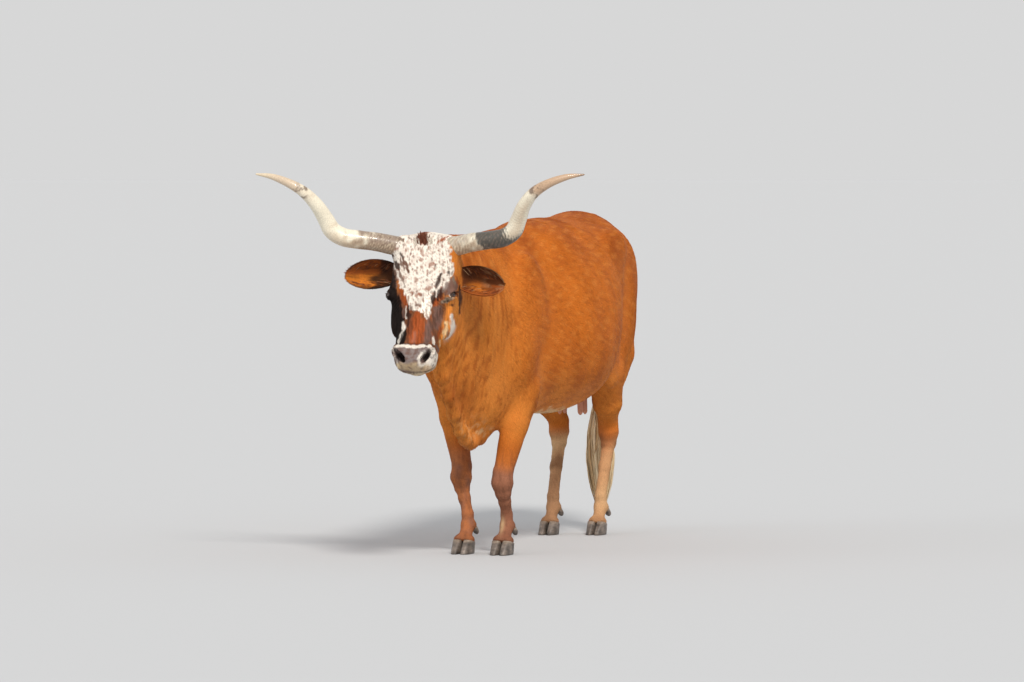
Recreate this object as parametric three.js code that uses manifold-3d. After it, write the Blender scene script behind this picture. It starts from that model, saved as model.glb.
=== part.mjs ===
// A texas longhorn cow, life size, standing still with its head turned a little to its left.
// Millimetres, +Z up. The cow looks along -Y, and its own left side is +X.
import * as THREE from 'three';
import { mergeVertices } from 'three/addons/utils/BufferGeometryUtils.js';
import Module from 'manifold-3d';

const wasm = await Module();
wasm.setup();

// Distance kept between two nodes that touch.
const touchGap = 0.3;
const halfGap = touchGap / 2;

// Trunk and neck: sections across Y, from the rump to the throat. top and bottom are heights,
// half is the greatest half width and mid the height where it lies, upper and lower are the
// roundness above and below it (2 is an ellipse, less is more pointed).
const trunkSections = [
  { y: 862, top: 1262, bottom: 1120, half: 40, mid: 1195, upper: 2.0, lower: 2.0 },
  { y: 845, top: 1300, bottom: 1040, half: 88, mid: 1190, upper: 2.0, lower: 2.0 },
  { y: 800, top: 1334, bottom: 960, half: 132, mid: 1180, upper: 2.0, lower: 2.0 },
  { y: 700, top: 1362, bottom: 850, half: 186, mid: 1160, upper: 1.9, lower: 2.0 },
  { y: 600, top: 1371, bottom: 745, half: 222, mid: 1130, upper: 1.9, lower: 2.1 },
  { y: 480, top: 1366, bottom: 662, half: 244, mid: 1090, upper: 2.0, lower: 2.2 },
  { y: 360, top: 1358, bottom: 596, half: 278, mid: 990, upper: 2.1, lower: 2.2 },
  { y: 220, top: 1350, bottom: 548, half: 316, mid: 900, upper: 2.1, lower: 2.15 },
  { y: 60, top: 1349, bottom: 537, half: 330, mid: 880, upper: 2.05, lower: 2.1 },
  { y: -120, top: 1349, bottom: 537, half: 306, mid: 880, upper: 1.95, lower: 2.1 },
  { y: -300, top: 1330, bottom: 532, half: 252, mid: 880, upper: 1.8, lower: 2.2 },
  { y: -450, top: 1316, bottom: 520, half: 222, mid: 880, upper: 1.65, lower: 2.3 },
  { y: -600, top: 1304, bottom: 500, half: 200, mid: 870, upper: 1.75, lower: 2.1 },
  { y: -720, top: 1300, bottom: 496, half: 172, mid: 900, upper: 1.8, lower: 1.8 },
  { y: -850, top: 1300, bottom: 562, half: 144, mid: 980, upper: 1.9, lower: 1.65 },
  { y: -1000, top: 1300, bottom: 690, half: 121, mid: 1070, upper: 2.0, lower: 1.55 },
  { y: -1120, top: 1302, bottom: 790, half: 110, mid: 1100, upper: 2.1, lower: 1.6 },
  { y: -1230, top: 1296, bottom: 960, half: 96, mid: 1130, upper: 2.2, lower: 2.0 },
];

// Head: sections across the line from the poll down the face. along is measured down the face,
// front and back are depths behind the face line, half and mid as above.
const headSections = [
  { along: -22, front: 38, back: 122, half: 102, mid: 80, frontRound: 2.5, backRound: 2.0 },
  { along: 0, front: 14, back: 160, half: 122, mid: 78, frontRound: 2.6, backRound: 2.0 },
  { along: 60, front: 0, back: 205, half: 127, mid: 84, frontRound: 2.9, backRound: 2.0 },
  { along: 130, front: -5, back: 240, half: 128, mid: 88, frontRound: 2.9, backRound: 2.0 },
  { along: 200, front: -7, back: 262, half: 128, mid: 86, frontRound: 2.6, backRound: 2.0 },
  { along: 250, front: -4, back: 266, half: 121, mid: 88, frontRound: 2.3, backRound: 2.0 },
  { along: 300, front: 0, back: 256, half: 108, mid: 96, frontRound: 2.1, backRound: 1.9 },
  { along: 345, front: 3, back: 232, half: 95, mid: 96, frontRound: 2.1, backRound: 1.9 },
  { along: 390, front: 3, back: 202, half: 90, mid: 84, frontRound: 2.2, backRound: 2.0 },
  { along: 430, front: 1, back: 174, half: 87, mid: 74, frontRound: 2.3, backRound: 2.2 },
  { along: 470, front: -3, back: 152, half: 85, mid: 66, frontRound: 2.4, backRound: 2.2 },
  { along: 508, front: -4, back: 134, half: 84, mid: 60, frontRound: 2.4, backRound: 2.2 },
  { along: 535, front: 4, back: 122, half: 76, mid: 60, frontRound: 2.4, backRound: 2.2 },
  { along: 552, front: 20, back: 106, half: 54, mid: 60, frontRound: 2.2, backRound: 2.1 },
  { along: 560, front: 40, back: 88, half: 30, mid: 60, frontRound: 2.0, backRound: 2.0 },
];
const headPlace = { x: 0, y: -1262, z: 1300 };
const headTurn = THREE.MathUtils.degToRad(9);
const faceTilt = THREE.MathUtils.degToRad(27);

// Eyes, measured on the head: along the face, behind the face line, and out from the middle.
const eye = { along: 238, behind: 46, out: 116, radius: 19 };

// Horns: out from the middle of the head, up from the base level, forward of the poll, radius.
const hornBase = { y: -1250, z: 1259 };
const hornCourse = [
  { out: 90, up: -4, forward: -12, radius: 38 },
  { out: 125, up: 0, forward: -6, radius: 37 },
  { out: 194, up: 15, forward: 20, radius: 36 },
  { out: 257, up: 23, forward: 35, radius: 36 },
  { out: 321, up: 34, forward: 50, radius: 35.5 },
  { out: 362, up: 60, forward: 60, radius: 35 },
  { out: 384, up: 102, forward: 75, radius: 32 },
  { out: 413, up: 159, forward: 110, radius: 27.5 },
  { out: 456, up: 209, forward: 138, radius: 23 },
  { out: 512, up: 244, forward: 150, radius: 18 },
  { out: 585, up: 271, forward: 140, radius: 12 },
  { out: 652, up: 281, forward: 127, radius: 3.5 },
];
const hornSides = 12;
const hornSteps = 22;

// Ears: length from root to tip, greatest width and the thickness of the shell.
const ear = { width: 118, shell: 6, steps: 12, around: 9 };
const earPose = {
  left: { length: 206, along: 124, drop: -0.12, sweep: -0.24 },
  right: { length: 230, along: 110, drop: 0.0, sweep: 0.03 },
};

// Feet: the middle between the claws of each foot on the ground, and the height of the coronet.
const feet = {
  foreleg_left: { x: 88, y: -614, spread: 1.0 },
  foreleg_right: { x: -80, y: -614, spread: 1.0 },
  hindleg_left: { x: 92, y: 556, spread: 0.93 },
  hindleg_right: { x: -100, y: 494, spread: 0.93 },
};
const coronet = { height: 48, slope: 0.3, behind: 17 };
const claw = {
  toe: 60,
  heel: -47,
  halfWidth: 21,
  topBack: -50,
  topFront: 14,
  cleft: 2.5,
  toeIn: 6,
  innerTurn: 0.2,
};

// Where the legs part from the trunk.
const foreTop = 640;
const hindTop = 700;
const hindFront = 385;
const forelegInner = 30;
const forelegReach = { ahead: 98, behind: 92 };
const middleGap = 1.5;

// Small vector helpers on plain arrays.
const add = (a, b, scale = 1) => [a[0] + b[0] * scale, a[1] + b[1] * scale, a[2] + b[2] * scale];
const between = (a, b) => [b[0] - a[0], b[1] - a[1], b[2] - a[2]];
const dot = (a, b) => a[0] * b[0] + a[1] * b[1] + a[2] * b[2];
const cross = (a, b) => [
  a[1] * b[2] - a[2] * b[1],
  a[2] * b[0] - a[0] * b[2],
  a[0] * b[1] - a[1] * b[0],
];
const length = (a) => Math.hypot(a[0], a[1], a[2]);
const unit = (a) => add([0, 0, 0], a, 1 / length(a));
const mix = (a, b, share) => a + (b - a) * share;
const clamp = (value, low, high) => Math.min(Math.max(value, low), high);

// The head's own directions.
const headForward = [Math.sin(headTurn), -Math.cos(headTurn), 0];
const headLeft = [Math.cos(headTurn), Math.sin(headTurn), 0];
const faceDown = add([0, 0, -Math.cos(faceTilt)], headForward, Math.sin(faceTilt));
const faceBack = add([0, 0, -Math.sin(faceTilt)], headForward, -Math.cos(faceTilt));
const headOrigin = [headPlace.x, headPlace.y, headPlace.z];

function onHead(out, along, behind) {
  return add(add(add(headOrigin, headLeft, out), faceDown, along), faceBack, behind);
}

// A smooth curve through each named value of a list of sections, read from a fine table.
function sectionTable(sections, key, names, step = 2) {
  const sorted = [...sections].sort((a, b) => a[key] - b[key]);
  const first = sorted[0][key];
  const last = sorted[sorted.length - 1][key];
  const slopes = names.map((name) => sorted.map((section, i) => {
    const before = sorted[Math.max(i - 1, 0)];
    const after = sorted[Math.min(i + 1, sorted.length - 1)];
    return (after[name] - before[name]) / (after[key] - before[key]);
  }));
  const count = Math.ceil((last - first) / step) + 1;
  const rows = [];
  for (let row = 0; row < count; row += 1) {
    const place = Math.min(first + row * step, last);
    let i = 0;
    while (i < sorted.length - 2 && sorted[i + 1][key] < place) i += 1;
    const span = sorted[i + 1][key] - sorted[i][key];
    const t = (place - sorted[i][key]) / span;
    const t2 = t * t;
    const t3 = t2 * t;
    rows.push(names.map((name, n) => (2 * t3 - 3 * t2 + 1) * sorted[i][name]
      + (t3 - 2 * t2 + t) * span * slopes[n][i]
      + (3 * t2 - 2 * t3) * sorted[i + 1][name]
      + (t3 - t2) * span * slopes[n][i + 1]));
  }
  return { first, last, step, rows };
}

function readTable(table, place) {
  const at = (clamp(place, table.first, table.last) - table.first) / table.step;
  const low = Math.min(Math.floor(at), table.rows.length - 2);
  const share = Math.min(at - low, 1);
  return table.rows[low].map((value, i) => mix(value, table.rows[low + 1][i], share));
}

const trunkTable = sectionTable(trunkSections, 'y', ['top', 'bottom', 'half', 'mid', 'upper', 'lower']);
const headTable = sectionTable(
  headSections, 'along', ['back', 'front', 'half', 'mid', 'backRound', 'frontRound']);

// How far a point lies outside a body given by sections, less than 0 inside.
function sectionDistance(table, place, side, height) {
  const [top, bottom, half, mid, upper, lower] = readTable(table, place);
  const rise = height - mid;
  const reach = rise > 0 ? top - mid : mid - bottom;
  const power = rise > 0 ? upper : lower;
  const ratio = (Math.abs(side / half) ** power + Math.abs(rise / reach) ** power) ** (1 / power);
  const radius = Math.hypot(side, rise);
  const across = ratio < 1e-6 ? -Math.min(half, Math.abs(reach)) : radius * (1 - 1 / ratio);
  const past = Math.max(table.first - place, place - table.last, 0);
  if (past === 0) return across;
  return across > 0 ? Math.hypot(across, past) : Math.max(across, past);
}

function joinSmooth(a, b, softness) {
  const near = Math.max(softness - Math.abs(a - b), 0) / softness;
  return Math.min(a, b) - near * near * softness * 0.25;
}

// Distance to a chain of balls joined by cones, each point being [x, y, z, radius].
function chainDistance(points, p) {
  let nearest = Infinity;
  for (let i = 0; i < points.length - 1; i += 1) {
    const a = points[i];
    const b = points[i + 1];
    const line = between(a, b);
    const share = clamp(dot(between(a, p), line) / dot(line, line), 0, 1);
    const away = Math.hypot(
      p[0] - mix(a[0], b[0], share), p[1] - mix(a[1], b[1], share), p[2] - mix(a[2], b[2], share));
    const distance = away - mix(a[3], b[3], share);
    nearest = nearest === Infinity ? distance : joinSmooth(nearest, distance, 18);
  }
  return nearest;
}

// Distance to an egg shape with its own three directions.
function eggDistance(egg, p) {
  const away = between(egg.centre, p);
  const axes = egg.axes;
  const a = dot(away, axes[0]) / egg.radii[0];
  const b = dot(away, axes[1]) / egg.radii[1];
  const c = dot(away, axes[2]) / egg.radii[2];
  const ratio = Math.hypot(a, b, c);
  const far = length(away);
  return ratio < 1e-6 ? -Math.min(...egg.radii) : far * (1 - 1 / ratio);
}

const plainAxes = [[1, 0, 0], [0, 1, 0], [0, 0, 1]];
const headAxes = [headLeft, faceDown, faceBack];

function egg(centre, radii, softness, lean = 0) {
  const axes = lean === 0 ? plainAxes : [
    [1, 0, 0], [0, Math.cos(lean), Math.sin(lean)], [0, -Math.sin(lean), Math.cos(lean)]];
  return { kind: 'egg', centre, radii, axes, softness };
}

function headEgg(out, along, behind, radii, softness) {
  return { kind: 'egg', centre: onHead(out, along, behind), radii, axes: headAxes, softness };
}

function chain(points, softness) {
  return { kind: 'chain', points, softness };
}

// A foreleg from the elbow down, by the places of its joints.
function forelegForms(side, joints) {
  const { elbow, knee, fetlock } = joints;
  const foot = feet[side > 0 ? 'foreleg_left' : 'foreleg_right'];
  const kneeTop = add(knee, [0, 2, 42]);
  const kneeLow = add(knee, [0, 4, -40]);
  const low = add(fetlock, [0, -6, 42]);
  return [
    chain([[...elbow, 72], [...add(elbow, between(elbow, kneeTop), 0.42), 58],
      [...kneeTop, 40]], 34),
    chain([[...add(elbow, [side * 6, 34, -60]), 40], [...add(kneeTop, [0, 16, 10]), 26]], 26),
    chain([[...kneeTop, 39], [...add(knee, [0, -6, 0]), 42], [...kneeLow, 33]], 14),
    chain([[...kneeLow, 31], [...add(kneeLow, between(kneeLow, low), 0.4), 23], [...low, 23.5]], 12),
    chain([[...add(kneeLow, [0, 17, 0]), 21], [...add(low, [0, 18, 0]), 16]], 10),
    chain([[...low, 23], [...add(fetlock, [0, -3, 0]), 29]], 12),
    egg(add(fetlock, [0, 17, -4]), [30, 22, 24], 12),
    chain([[...fetlock, 27], [foot.x, foot.y + coronet.behind + 6, coronet.height + 8, 28]], 12),
    chain([[foot.x + 19, foot.y + coronet.behind, coronet.height + 4, 26],
      [foot.x + 19, foot.y + coronet.behind - 4, coronet.height - 20, 27]], 14),
    chain([[foot.x - 19, foot.y + coronet.behind, coronet.height + 4, 26],
      [foot.x - 19, foot.y + coronet.behind - 4, coronet.height - 20, 27]], 14),
  ];
}

// A hind leg from the stifle down.
function hindlegForms(side, joints) {
  const { stifle, hock, fetlock } = joints;
  const foot = feet[side > 0 ? 'hindleg_left' : 'hindleg_right'];
  const point = add(hock, [0, 40, 34]);
  const low = add(fetlock, [0, -4, 44]);
  return [
    chain([[...stifle, 84], [...add(stifle, between(stifle, hock), 0.5), 62],
      [...add(hock, [0, -14, 46]), 43]], 44),
    chain([[stifle[0] - side * 12, stifle[1] + 196, stifle[2] + 70, 70],
      [...add(point, [0, -30, 150]), 44], [...add(point, [0, -8, 78]), 23], [...point, 18]], 40),
    egg([stifle[0] - side * 16, 612, 690], [58, 108, 118], 44),
    chain([[...add(hock, [0, -16, 40]), 40], [...add(hock, [0, -10, 0]), 43],
      [...add(hock, [0, -10, -44]), 35]], 22),
    chain([[...point, 19], [...add(hock, [0, 20, -50]), 22]], 22),
    chain([[...add(hock, [0, -6, -44]), 31], [...add(hock, between(hock, low), 0.55), 24.5],
      [...low, 25]], 14),
    chain([[...add(hock, [0, 18, -60]), 21], [...add(low, [0, 19, 0]), 16]], 10),
    chain([[...low, 24.5], [...add(fetlock, [0, -3, 0]), 30]], 12),
    egg(add(fetlock, [0, 17, -4]), [30, 22, 24], 12),
    chain([[...fetlock, 27], [foot.x, foot.y + coronet.behind + 6, coronet.height + 8, 27]], 12),
    chain([[foot.x + 17, foot.y + coronet.behind, coronet.height + 4, 24],
      [foot.x + 17, foot.y + coronet.behind - 4, coronet.height - 20, 25]], 14),
    chain([[foot.x - 17, foot.y + coronet.behind, coronet.height + 4, 24],
      [foot.x - 17, foot.y + coronet.behind - 4, coronet.height - 20, 25]], 14),
  ];
}

const joints = {
  foreleg_left: { elbow: [150, -530, 672], knee: [96, -622, 292], fetlock: [88, -550, 115] },
  foreleg_right: { elbow: [-184, -510, 694], knee: [-106, -556, 308], fetlock: [-80, -550, 115] },
  hindleg_left: { stifle: [150, 500, 690], hock: [106, 686, 432], fetlock: [92, 618, 115] },
  hindleg_right: { stifle: [-152, 485, 690], hock: [-112, 672, 432], fetlock: [-100, 556, 115] },
};

// Muscles and bones that shape the trunk. The weight rests more on the right foreleg, so both
// shoulders stand a little to the right.
const shoulderShift = -14;

function trunkForms(side) {
  return [
    egg([side * 156 + shoulderShift, -530, 985], [76, 130, 235], 70, -0.3),
    egg([side * 172 + shoulderShift, -606, 800], [68, 96, 135], 60, 0.3),
    egg([side * 146 + shoulderShift, -520, 690], [72, 96, 95], 60),
    egg([side * 218, 420, 1236], [36, 80, 44], 80),
    egg([side * 150, 640, 1030], [80, 165, 210], 90, -0.15),
    egg([side * 160, 560, 850], [72, 150, 165], 80, 0.25),
    egg([side * 142, 690, 860], [62, 95, 190], 60, 0.12),
    egg([side * 116, 806, 1212], [32, 46, 42], 50),
    egg([side * 205, 392, 730], [28, 70, 110], 60, 0.3),
  ];
}

// Bones and folds of the head, alike on both sides.
function headForms(side) {
  return [
    headEgg(side * 98, 226, 56, [32, 46, 42], 24),
    headEgg(side * 96, 312, 98, [26, 80, 30], 30),
    headEgg(side * 78, 272, 180, [38, 90, 66], 36),
    headEgg(side * 46, 486, 26, [34, 40, 34], 22),
    headEgg(side * 100, 36, 50, [40, 48, 50], 24),
    headEgg(side * 106, 98, 116, [24, 30, 30], 20),
    headEgg(side * 84, 3, 62, [36, 25, 46], 20),
  ];
}

const dewlap = chain([[0, -1110, 800, 24], [0, -1070, 738, 24], [0, -1000, 655, 25],
  [0, -930, 580, 26], [0, -860, 515, 27], [0, -800, 474, 28], [0, -745, 458, 30],
  [0, -660, 478, 34], [0, -560, 525, 34]], 60);
const chest = egg([0, -690, 655], [108, 126, 150], 70, 0.2);
const tailHead = chain([[0, 760, 1322, 34], [0, 830, 1306, 34]], 50);
const escutcheon = chain([[0, 790, 1010, 56], [0, 742, 860, 66], [0, 650, 770, 70]], 60);
const chin = headEgg(0, 520, 112, [38, 34, 24], 20);

const trunkParts = [dewlap, chest, tailHead, escutcheon, ...trunkForms(1), ...trunkForms(-1)];
const headParts = [chin, ...headForms(1), ...headForms(-1)];
const legParts = {
  foreleg_left: forelegForms(1, joints.foreleg_left),
  foreleg_right: forelegForms(-1, joints.foreleg_right),
  hindleg_left: hindlegForms(1, joints.hindleg_left),
  hindleg_right: hindlegForms(-1, joints.hindleg_right),
};

function formDistance(form, p) {
  return form.kind === 'egg' ? eggDistance(form, p) : chainDistance(form.points, p);
}

function joinForms(start, forms, p) {
  return forms.reduce((distance, form) => joinSmooth(distance, formDistance(form, p), form.softness),
    start);
}

function headDistance(p) {
  const from = between(headOrigin, p);
  const start = sectionDistance(headTable, dot(from, faceDown), dot(from, headLeft), dot(from, faceBack));
  return joinForms(start, headParts, p);
}

function trunkDistance(p) {
  return joinForms(sectionDistance(trunkTable, p[1], p[0], p[2]), trunkParts, p);
}

// The whole flesh of the cow. Each part is only worked out near its own place.
function fleshDistance(p) {
  let distance = trunkDistance(p);
  if (p[1] < -950) distance = joinSmooth(distance, headDistance(p), 60);
  if (p[2] < 900) {
    const rear = p[1] > 100;
    const left = p[0] > 0;
    const name = `${rear ? 'hindleg' : 'foreleg'}_${left ? 'left' : 'right'}`;
    distance = joinForms(distance, legParts[name], p);
  }
  return distance;
}

// The point where a ray from inside leaves a body, or meets the limit given for its node.
function leavingPoint(centre, direction, distance, limit, furthest) {
  const outside = (t) => {
    const p = add(centre, direction, t);
    return Math.max(distance(p), limit ? limit(p) : -Infinity);
  };
  let inside = 0;
  let reached = 0;
  while (reached < furthest) {
    const value = outside(reached);
    if (value > 0) break;
    inside = reached;
    reached += clamp(-value * 0.6, 1.5, 25);
  }
  let low = inside;
  let high = Math.min(reached, furthest);
  if (outside(high) <= 0) return add(centre, direction, high);
  for (let i = 0; i < 18; i += 1) {
    const half = (low + high) / 2;
    if (outside(half) > 0) high = half;
    else low = half;
  }
  return add(centre, direction, low);
}

// A closed mesh through rings of points, with a fan over each end.
function closedLoft(rings, startPole, endPole) {
  const positions = [];
  const index = [];
  const around = rings[0].length;
  rings.forEach((ring) => ring.forEach((p) => positions.push(...p)));
  const startIndex = positions.length / 3;
  positions.push(...(startPole ?? middleOf(rings[0])));
  const endIndex = startIndex + 1;
  positions.push(...(endPole ?? middleOf(rings[rings.length - 1])));
  for (let i = 0; i < around; i += 1) {
    const next = (i + 1) % around;
    index.push(startIndex, next, i);
    for (let r = 0; r < rings.length - 1; r += 1) {
      const a = r * around + i;
      const b = r * around + next;
      index.push(a, b, b + around, a, b + around, a + around);
    }
    const last = (rings.length - 1) * around;
    index.push(endIndex, last + i, last + next);
  }
  return outward(positions, index);
}

function middleOf(ring) {
  return ring.reduce((sum, p) => add(sum, p, 1 / ring.length), [0, 0, 0]);
}

// Turns all the faces round if they point inwards.
function outward(positions, index) {
  let volume = 0;
  const corner = (i) => positions.slice(index[i] * 3, index[i] * 3 + 3);
  for (let i = 0; i < index.length; i += 3) {
    volume += dot(corner(i), cross(corner(i + 1), corner(i + 2)));
  }
  const faces = volume < 0 ? index.map((_, i) => index[i - (i % 3) + (2 - (i % 3))]) : index;
  const geometry = new THREE.BufferGeometry();
  geometry.setAttribute('position', new THREE.Float32BufferAttribute(positions, 3));
  geometry.setIndex(faces);
  return geometry;
}

// One ring of points on a body: rays in the plane of the station, evenly turned.
function castRing(station, around, distance, limit) {
  const ring = [];
  for (let i = 0; i < around; i += 1) {
    const even = (i / around) * 2 * Math.PI;
    const angle = even - (station.crowd ?? 0) * Math.cos(even);
    const direction = unit(add(
      add([0, 0, 0], station.side, Math.cos(angle)), station.up, Math.sin(angle)));
    ring.push(leavingPoint(station.centre, direction, distance, limit, station.reach ?? 700));
  }
  return ring;
}

function castLoft(stations, around, distance, limit, startPole, endPole) {
  const rings = stations.map((station) => castRing(station, around, distance, limit));
  return closedLoft(rings, startPole ?? stations[0].centre,
    endPole ?? stations[stations.length - 1].centre);
}

// Rings that close the first end of a loft: shrunk rings carried outwards on to the body.
function castCap(station, around, shares, distance, limit) {
  const rim = castRing(station, around, distance, limit);
  const outwards = station.normal.map((v) => -v);
  const reachOut = (p) => leavingPoint(p, outwards, distance, limit, 200);
  const rings = shares.map((share) => rim.map((p) => reachOut(
    add(station.centre, between(station.centre, p), share))));
  return { rings, pole: reachOut(station.centre) };
}

// Joining and cutting of closed meshes.
function solidOf(geometry) {
  const plain = geometry.clone();
  plain.deleteAttribute('normal');
  plain.deleteAttribute('uv');
  const merged = mergeVertices(plain, 1e-3);
  return new wasm.Manifold(new wasm.Mesh({
    numProp: 3,
    vertProperties: new Float32Array(merged.attributes.position.array),
    triVerts: new Uint32Array(merged.index.array),
  }));
}

function largestPiece(solid) {
  const pieces = solid.decompose();
  return pieces.reduce((best, piece) => (piece.volume() > best.volume() ? piece : best));
}

function geometryOf(solid) {
  const mesh = largestPiece(solid).getMesh();
  const geometry = new THREE.BufferGeometry();
  const corners = mesh.numProp === 3 ? mesh.vertProperties
    : mesh.vertProperties.filter((_, i) => i % mesh.numProp < 3);
  geometry.setAttribute('position', new THREE.BufferAttribute(new Float32Array(corners), 3));
  geometry.setIndex(new THREE.BufferAttribute(new Uint32Array(mesh.triVerts), 1));
  return geometry;
}

function joinSolids(solids) {
  return solids.reduce((sum, solid) => sum.add(solid));
}

function boxSolid(low, high) {
  const box = new THREE.BoxGeometry(high[0] - low[0], high[1] - low[1], high[2] - low[2]);
  box.translate((low[0] + high[0]) / 2, (low[1] + high[1]) / 2, (low[2] + high[2]) / 2);
  return solidOf(box);
}

// Even numbers from 0 to 1 in a fixed order that looks random.
function seededNumbers(seed) {
  let state = seed;
  return () => {
    state = (state * 1664525 + 1013904223) % 4294967296;
    return state / 4294967296;
  };
}

// A flat lock of hair along a path: widest near its middle, thin at its tip. facing is the
// direction its flat side looks.
function lockSolid(path, facing, halfWidth, halfThick) {
  const last = path.length - 1;
  const rings = path.slice(0, last).map((p, i) => {
    const ahead = unit(between(path[Math.max(i - 1, 0)], path[i + 1]));
    const across = unit(cross(ahead, facing));
    const upward = cross(across, ahead);
    const share = i / last;
    const wide = halfWidth * (0.7 + 0.3 * Math.sin(Math.PI * share)) * (1 - 0.75 * share ** 2);
    const thick = halfThick * (1 - 0.6 * share);
    return [add(p, across, wide), add(p, upward, thick), add(p, across, -wide), add(p, upward, -thick)];
  });
  return solidOf(closedLoft(rings, path[0], path[last]));
}

// The part is shown as one group of named nodes.
const group = new THREE.Group();

function addNode(name, geometry, material) {
  const mesh = new THREE.Mesh(geometry, material);
  mesh.name = name;
  group.add(mesh);
}

const redCoat = new THREE.MeshStandardMaterial({ color: 0xb0601f, roughness: 0.75, metalness: 0 });
const faceCoat = new THREE.MeshStandardMaterial({ color: 0xcfae96, roughness: 0.75, metalness: 0 });
const hornSkin = new THREE.MeshStandardMaterial({ color: 0xd8ccb0, roughness: 0.45, metalness: 0 });
const clawHorn = new THREE.MeshStandardMaterial({ color: 0x3c332c, roughness: 0.5, metalness: 0 });
const eyeGloss = new THREE.MeshStandardMaterial({ color: 0x120c09, roughness: 0.08, metalness: 0 });
const bareSkin = new THREE.MeshStandardMaterial({ color: 0xc98f78, roughness: 0.6, metalness: 0 });
const tailHair = new THREE.MeshStandardMaterial({ color: 0xc9a26c, roughness: 0.8, metalness: 0 });

// The planes that part the neck from the trunk and the head from the neck. Each has a point on
// the middle of the cow and its lean forward from upright.
const shoulderPlane = { y: -650, z: 900, lean: 0.36 };
const throatPlane = { y: -1160, z: 1005, lean: -0.13 };

function planeStation(y, z, lean, reach) {
  return {
    crowd: clamp((-y - 100) / 500, 0, 1) * 0.55,
    centre: [0, y, z],
    side: [1, 0, 0],
    up: [0, Math.sin(lean), Math.cos(lean)],
    normal: [0, -Math.cos(lean), Math.sin(lean)],
    reach,
  };
}

// Trunk
const trunkAround = 40;
const rumpLean = 0.15;
const straightYs = [772, 735, 690, 640, 590, 540, 500, 465, 430, 394, 384, 350, 305, 250, 190,
  120, 50, -20, -90, -160, -230];
const leaningCount = 9;
const trunkStations = straightYs.map((y) => planeStation(y,
  mix(880, 1060, clamp((y - 250) / 450, 0, 1)), rumpLean * clamp((y - 480) / 280, 0, 1), 620));
for (let i = 1; i <= leaningCount; i += 1) {
  const share = i / leaningCount;
  trunkStations.push(planeStation(
    mix(-230, shoulderPlane.y, share), mix(880, shoulderPlane.z, share), shoulderPlane.lean * share, 620));
}
const endOfTrunk = trunkStations[trunkStations.length - 1];
endOfTrunk.centre = add(endOfTrunk.centre, endOfTrunk.normal, -halfGap);

function trunkLimit(p) {
  if (p[1] > hindFront + 5) return 640 - p[2];
  const elbowY = joints[p[0] > 0 ? 'foreleg_left' : 'foreleg_right'].elbow[1];
  const besideLeg = Math.abs(p[0]) > 45 && p[1] > elbowY - forelegReach.ahead - 30
    && p[1] < elbowY + forelegReach.behind + 30;
  return besideLeg ? 600 - p[2] : -Infinity;
}

function trunkLoft(grown) {
  const distance = (p) => fleshDistance(p) - grown;
  const limit = (p) => trunkLimit(p) - grown;
  const cap = castCap(trunkStations[0], trunkAround, [0.25, 0.5, 0.72, 0.9], distance, limit);
  const rings = trunkStations.map((station) => castRing(station, trunkAround, distance, limit));
  return solidOf(closedLoft([...cap.rings, ...rings], cap.pole, endOfTrunk.centre));
}

const grownTrunk = trunkLoft(touchGap);
const hindSpace = boxSolid([-500, hindFront - halfGap, 0], [500, 1000, hindTop + halfGap]);
const foreSpaces = [1, -1].map((side) => {
  const xs = [side * (forelegInner - halfGap), side * 400].sort((a, b) => a - b);
  const elbowY = joints[side > 0 ? 'foreleg_left' : 'foreleg_right'].elbow[1];
  return boxSolid([xs[0], elbowY - forelegReach.ahead - halfGap, 0],
    [xs[1], elbowY + forelegReach.behind + halfGap, foreTop + halfGap]);
});
const torsoSolid = trunkLoft(0).subtract(joinSolids([hindSpace, ...foreSpaces]));
addNode('torso', geometryOf(torsoSolid), redCoat);

// Neck
const neckAround = 32;
const neckCount = 11;
const neckStations = [];
for (let i = 0; i <= neckCount; i += 1) {
  const share = i / neckCount;
  neckStations.push(planeStation(mix(shoulderPlane.y, throatPlane.y, share),
    mix(shoulderPlane.z, throatPlane.z, share) + 60 * Math.sin(Math.PI * share),
    mix(shoulderPlane.lean, throatPlane.lean, share), 620));
}
neckStations[0].centre = add(neckStations[0].centre, neckStations[0].normal, halfGap);
const endOfNeck = neckStations[neckCount];
endOfNeck.centre = add(endOfNeck.centre, endOfNeck.normal, -halfGap);
addNode('neck', castLoft(neckStations, neckAround, fleshDistance, null), redCoat);
const grownNeck = solidOf(castLoft(neckStations.map((station, i) => (i < neckCount ? station
  : { ...station, centre: add(station.centre, station.normal, touchGap) })), neckAround,
(p) => fleshDistance(p) - touchGap, null));

// Head
const headAround = 32;
const headAlongs = [-20, -8, 12, 36, 62, 90, 120, 148, 172, 194, 214, 234, 256, 282, 312, 345, 378,
  408, 434, 458, 480, 502, 520, 536, 549, 557];
const headStations = headAlongs.map((along) => {
  const [back, front, , mid] = readTable(headTable, along);
  const depth = along < 330 ? Math.min(mid + 12, (front + back) / 2) : (front + back) / 2;
  return { centre: onHead(0, along, depth), side: headLeft, up: faceBack, reach: 330 };
});
const throatNormal = endOfNeck.normal;
const throatPoint = add(endOfNeck.centre, throatNormal, halfGap);
const behindThroat = (p) => -dot(between(throatPoint, p), throatNormal) - 22;
const headLoft = castLoft(headStations, headAround, fleshDistance, behindThroat,
  onHead(0, -23, 80), onHead(0, 560, 62));
const grownHead = solidOf(castLoft(headStations, headAround, (p) => fleshDistance(p) - touchGap,
  (p) => behindThroat(p) - touchGap, onHead(0, -23 - touchGap, 80), onHead(0, 560 + touchGap, 62)));

function neckSideBox() {
  const box = new THREE.BoxGeometry(900, 600, 1800);
  box.translate(0, 300 - halfGap, 0);
  box.rotateX(-throatPlane.lean);
  box.translate(...throatPoint);
  return solidOf(box);
}

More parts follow.
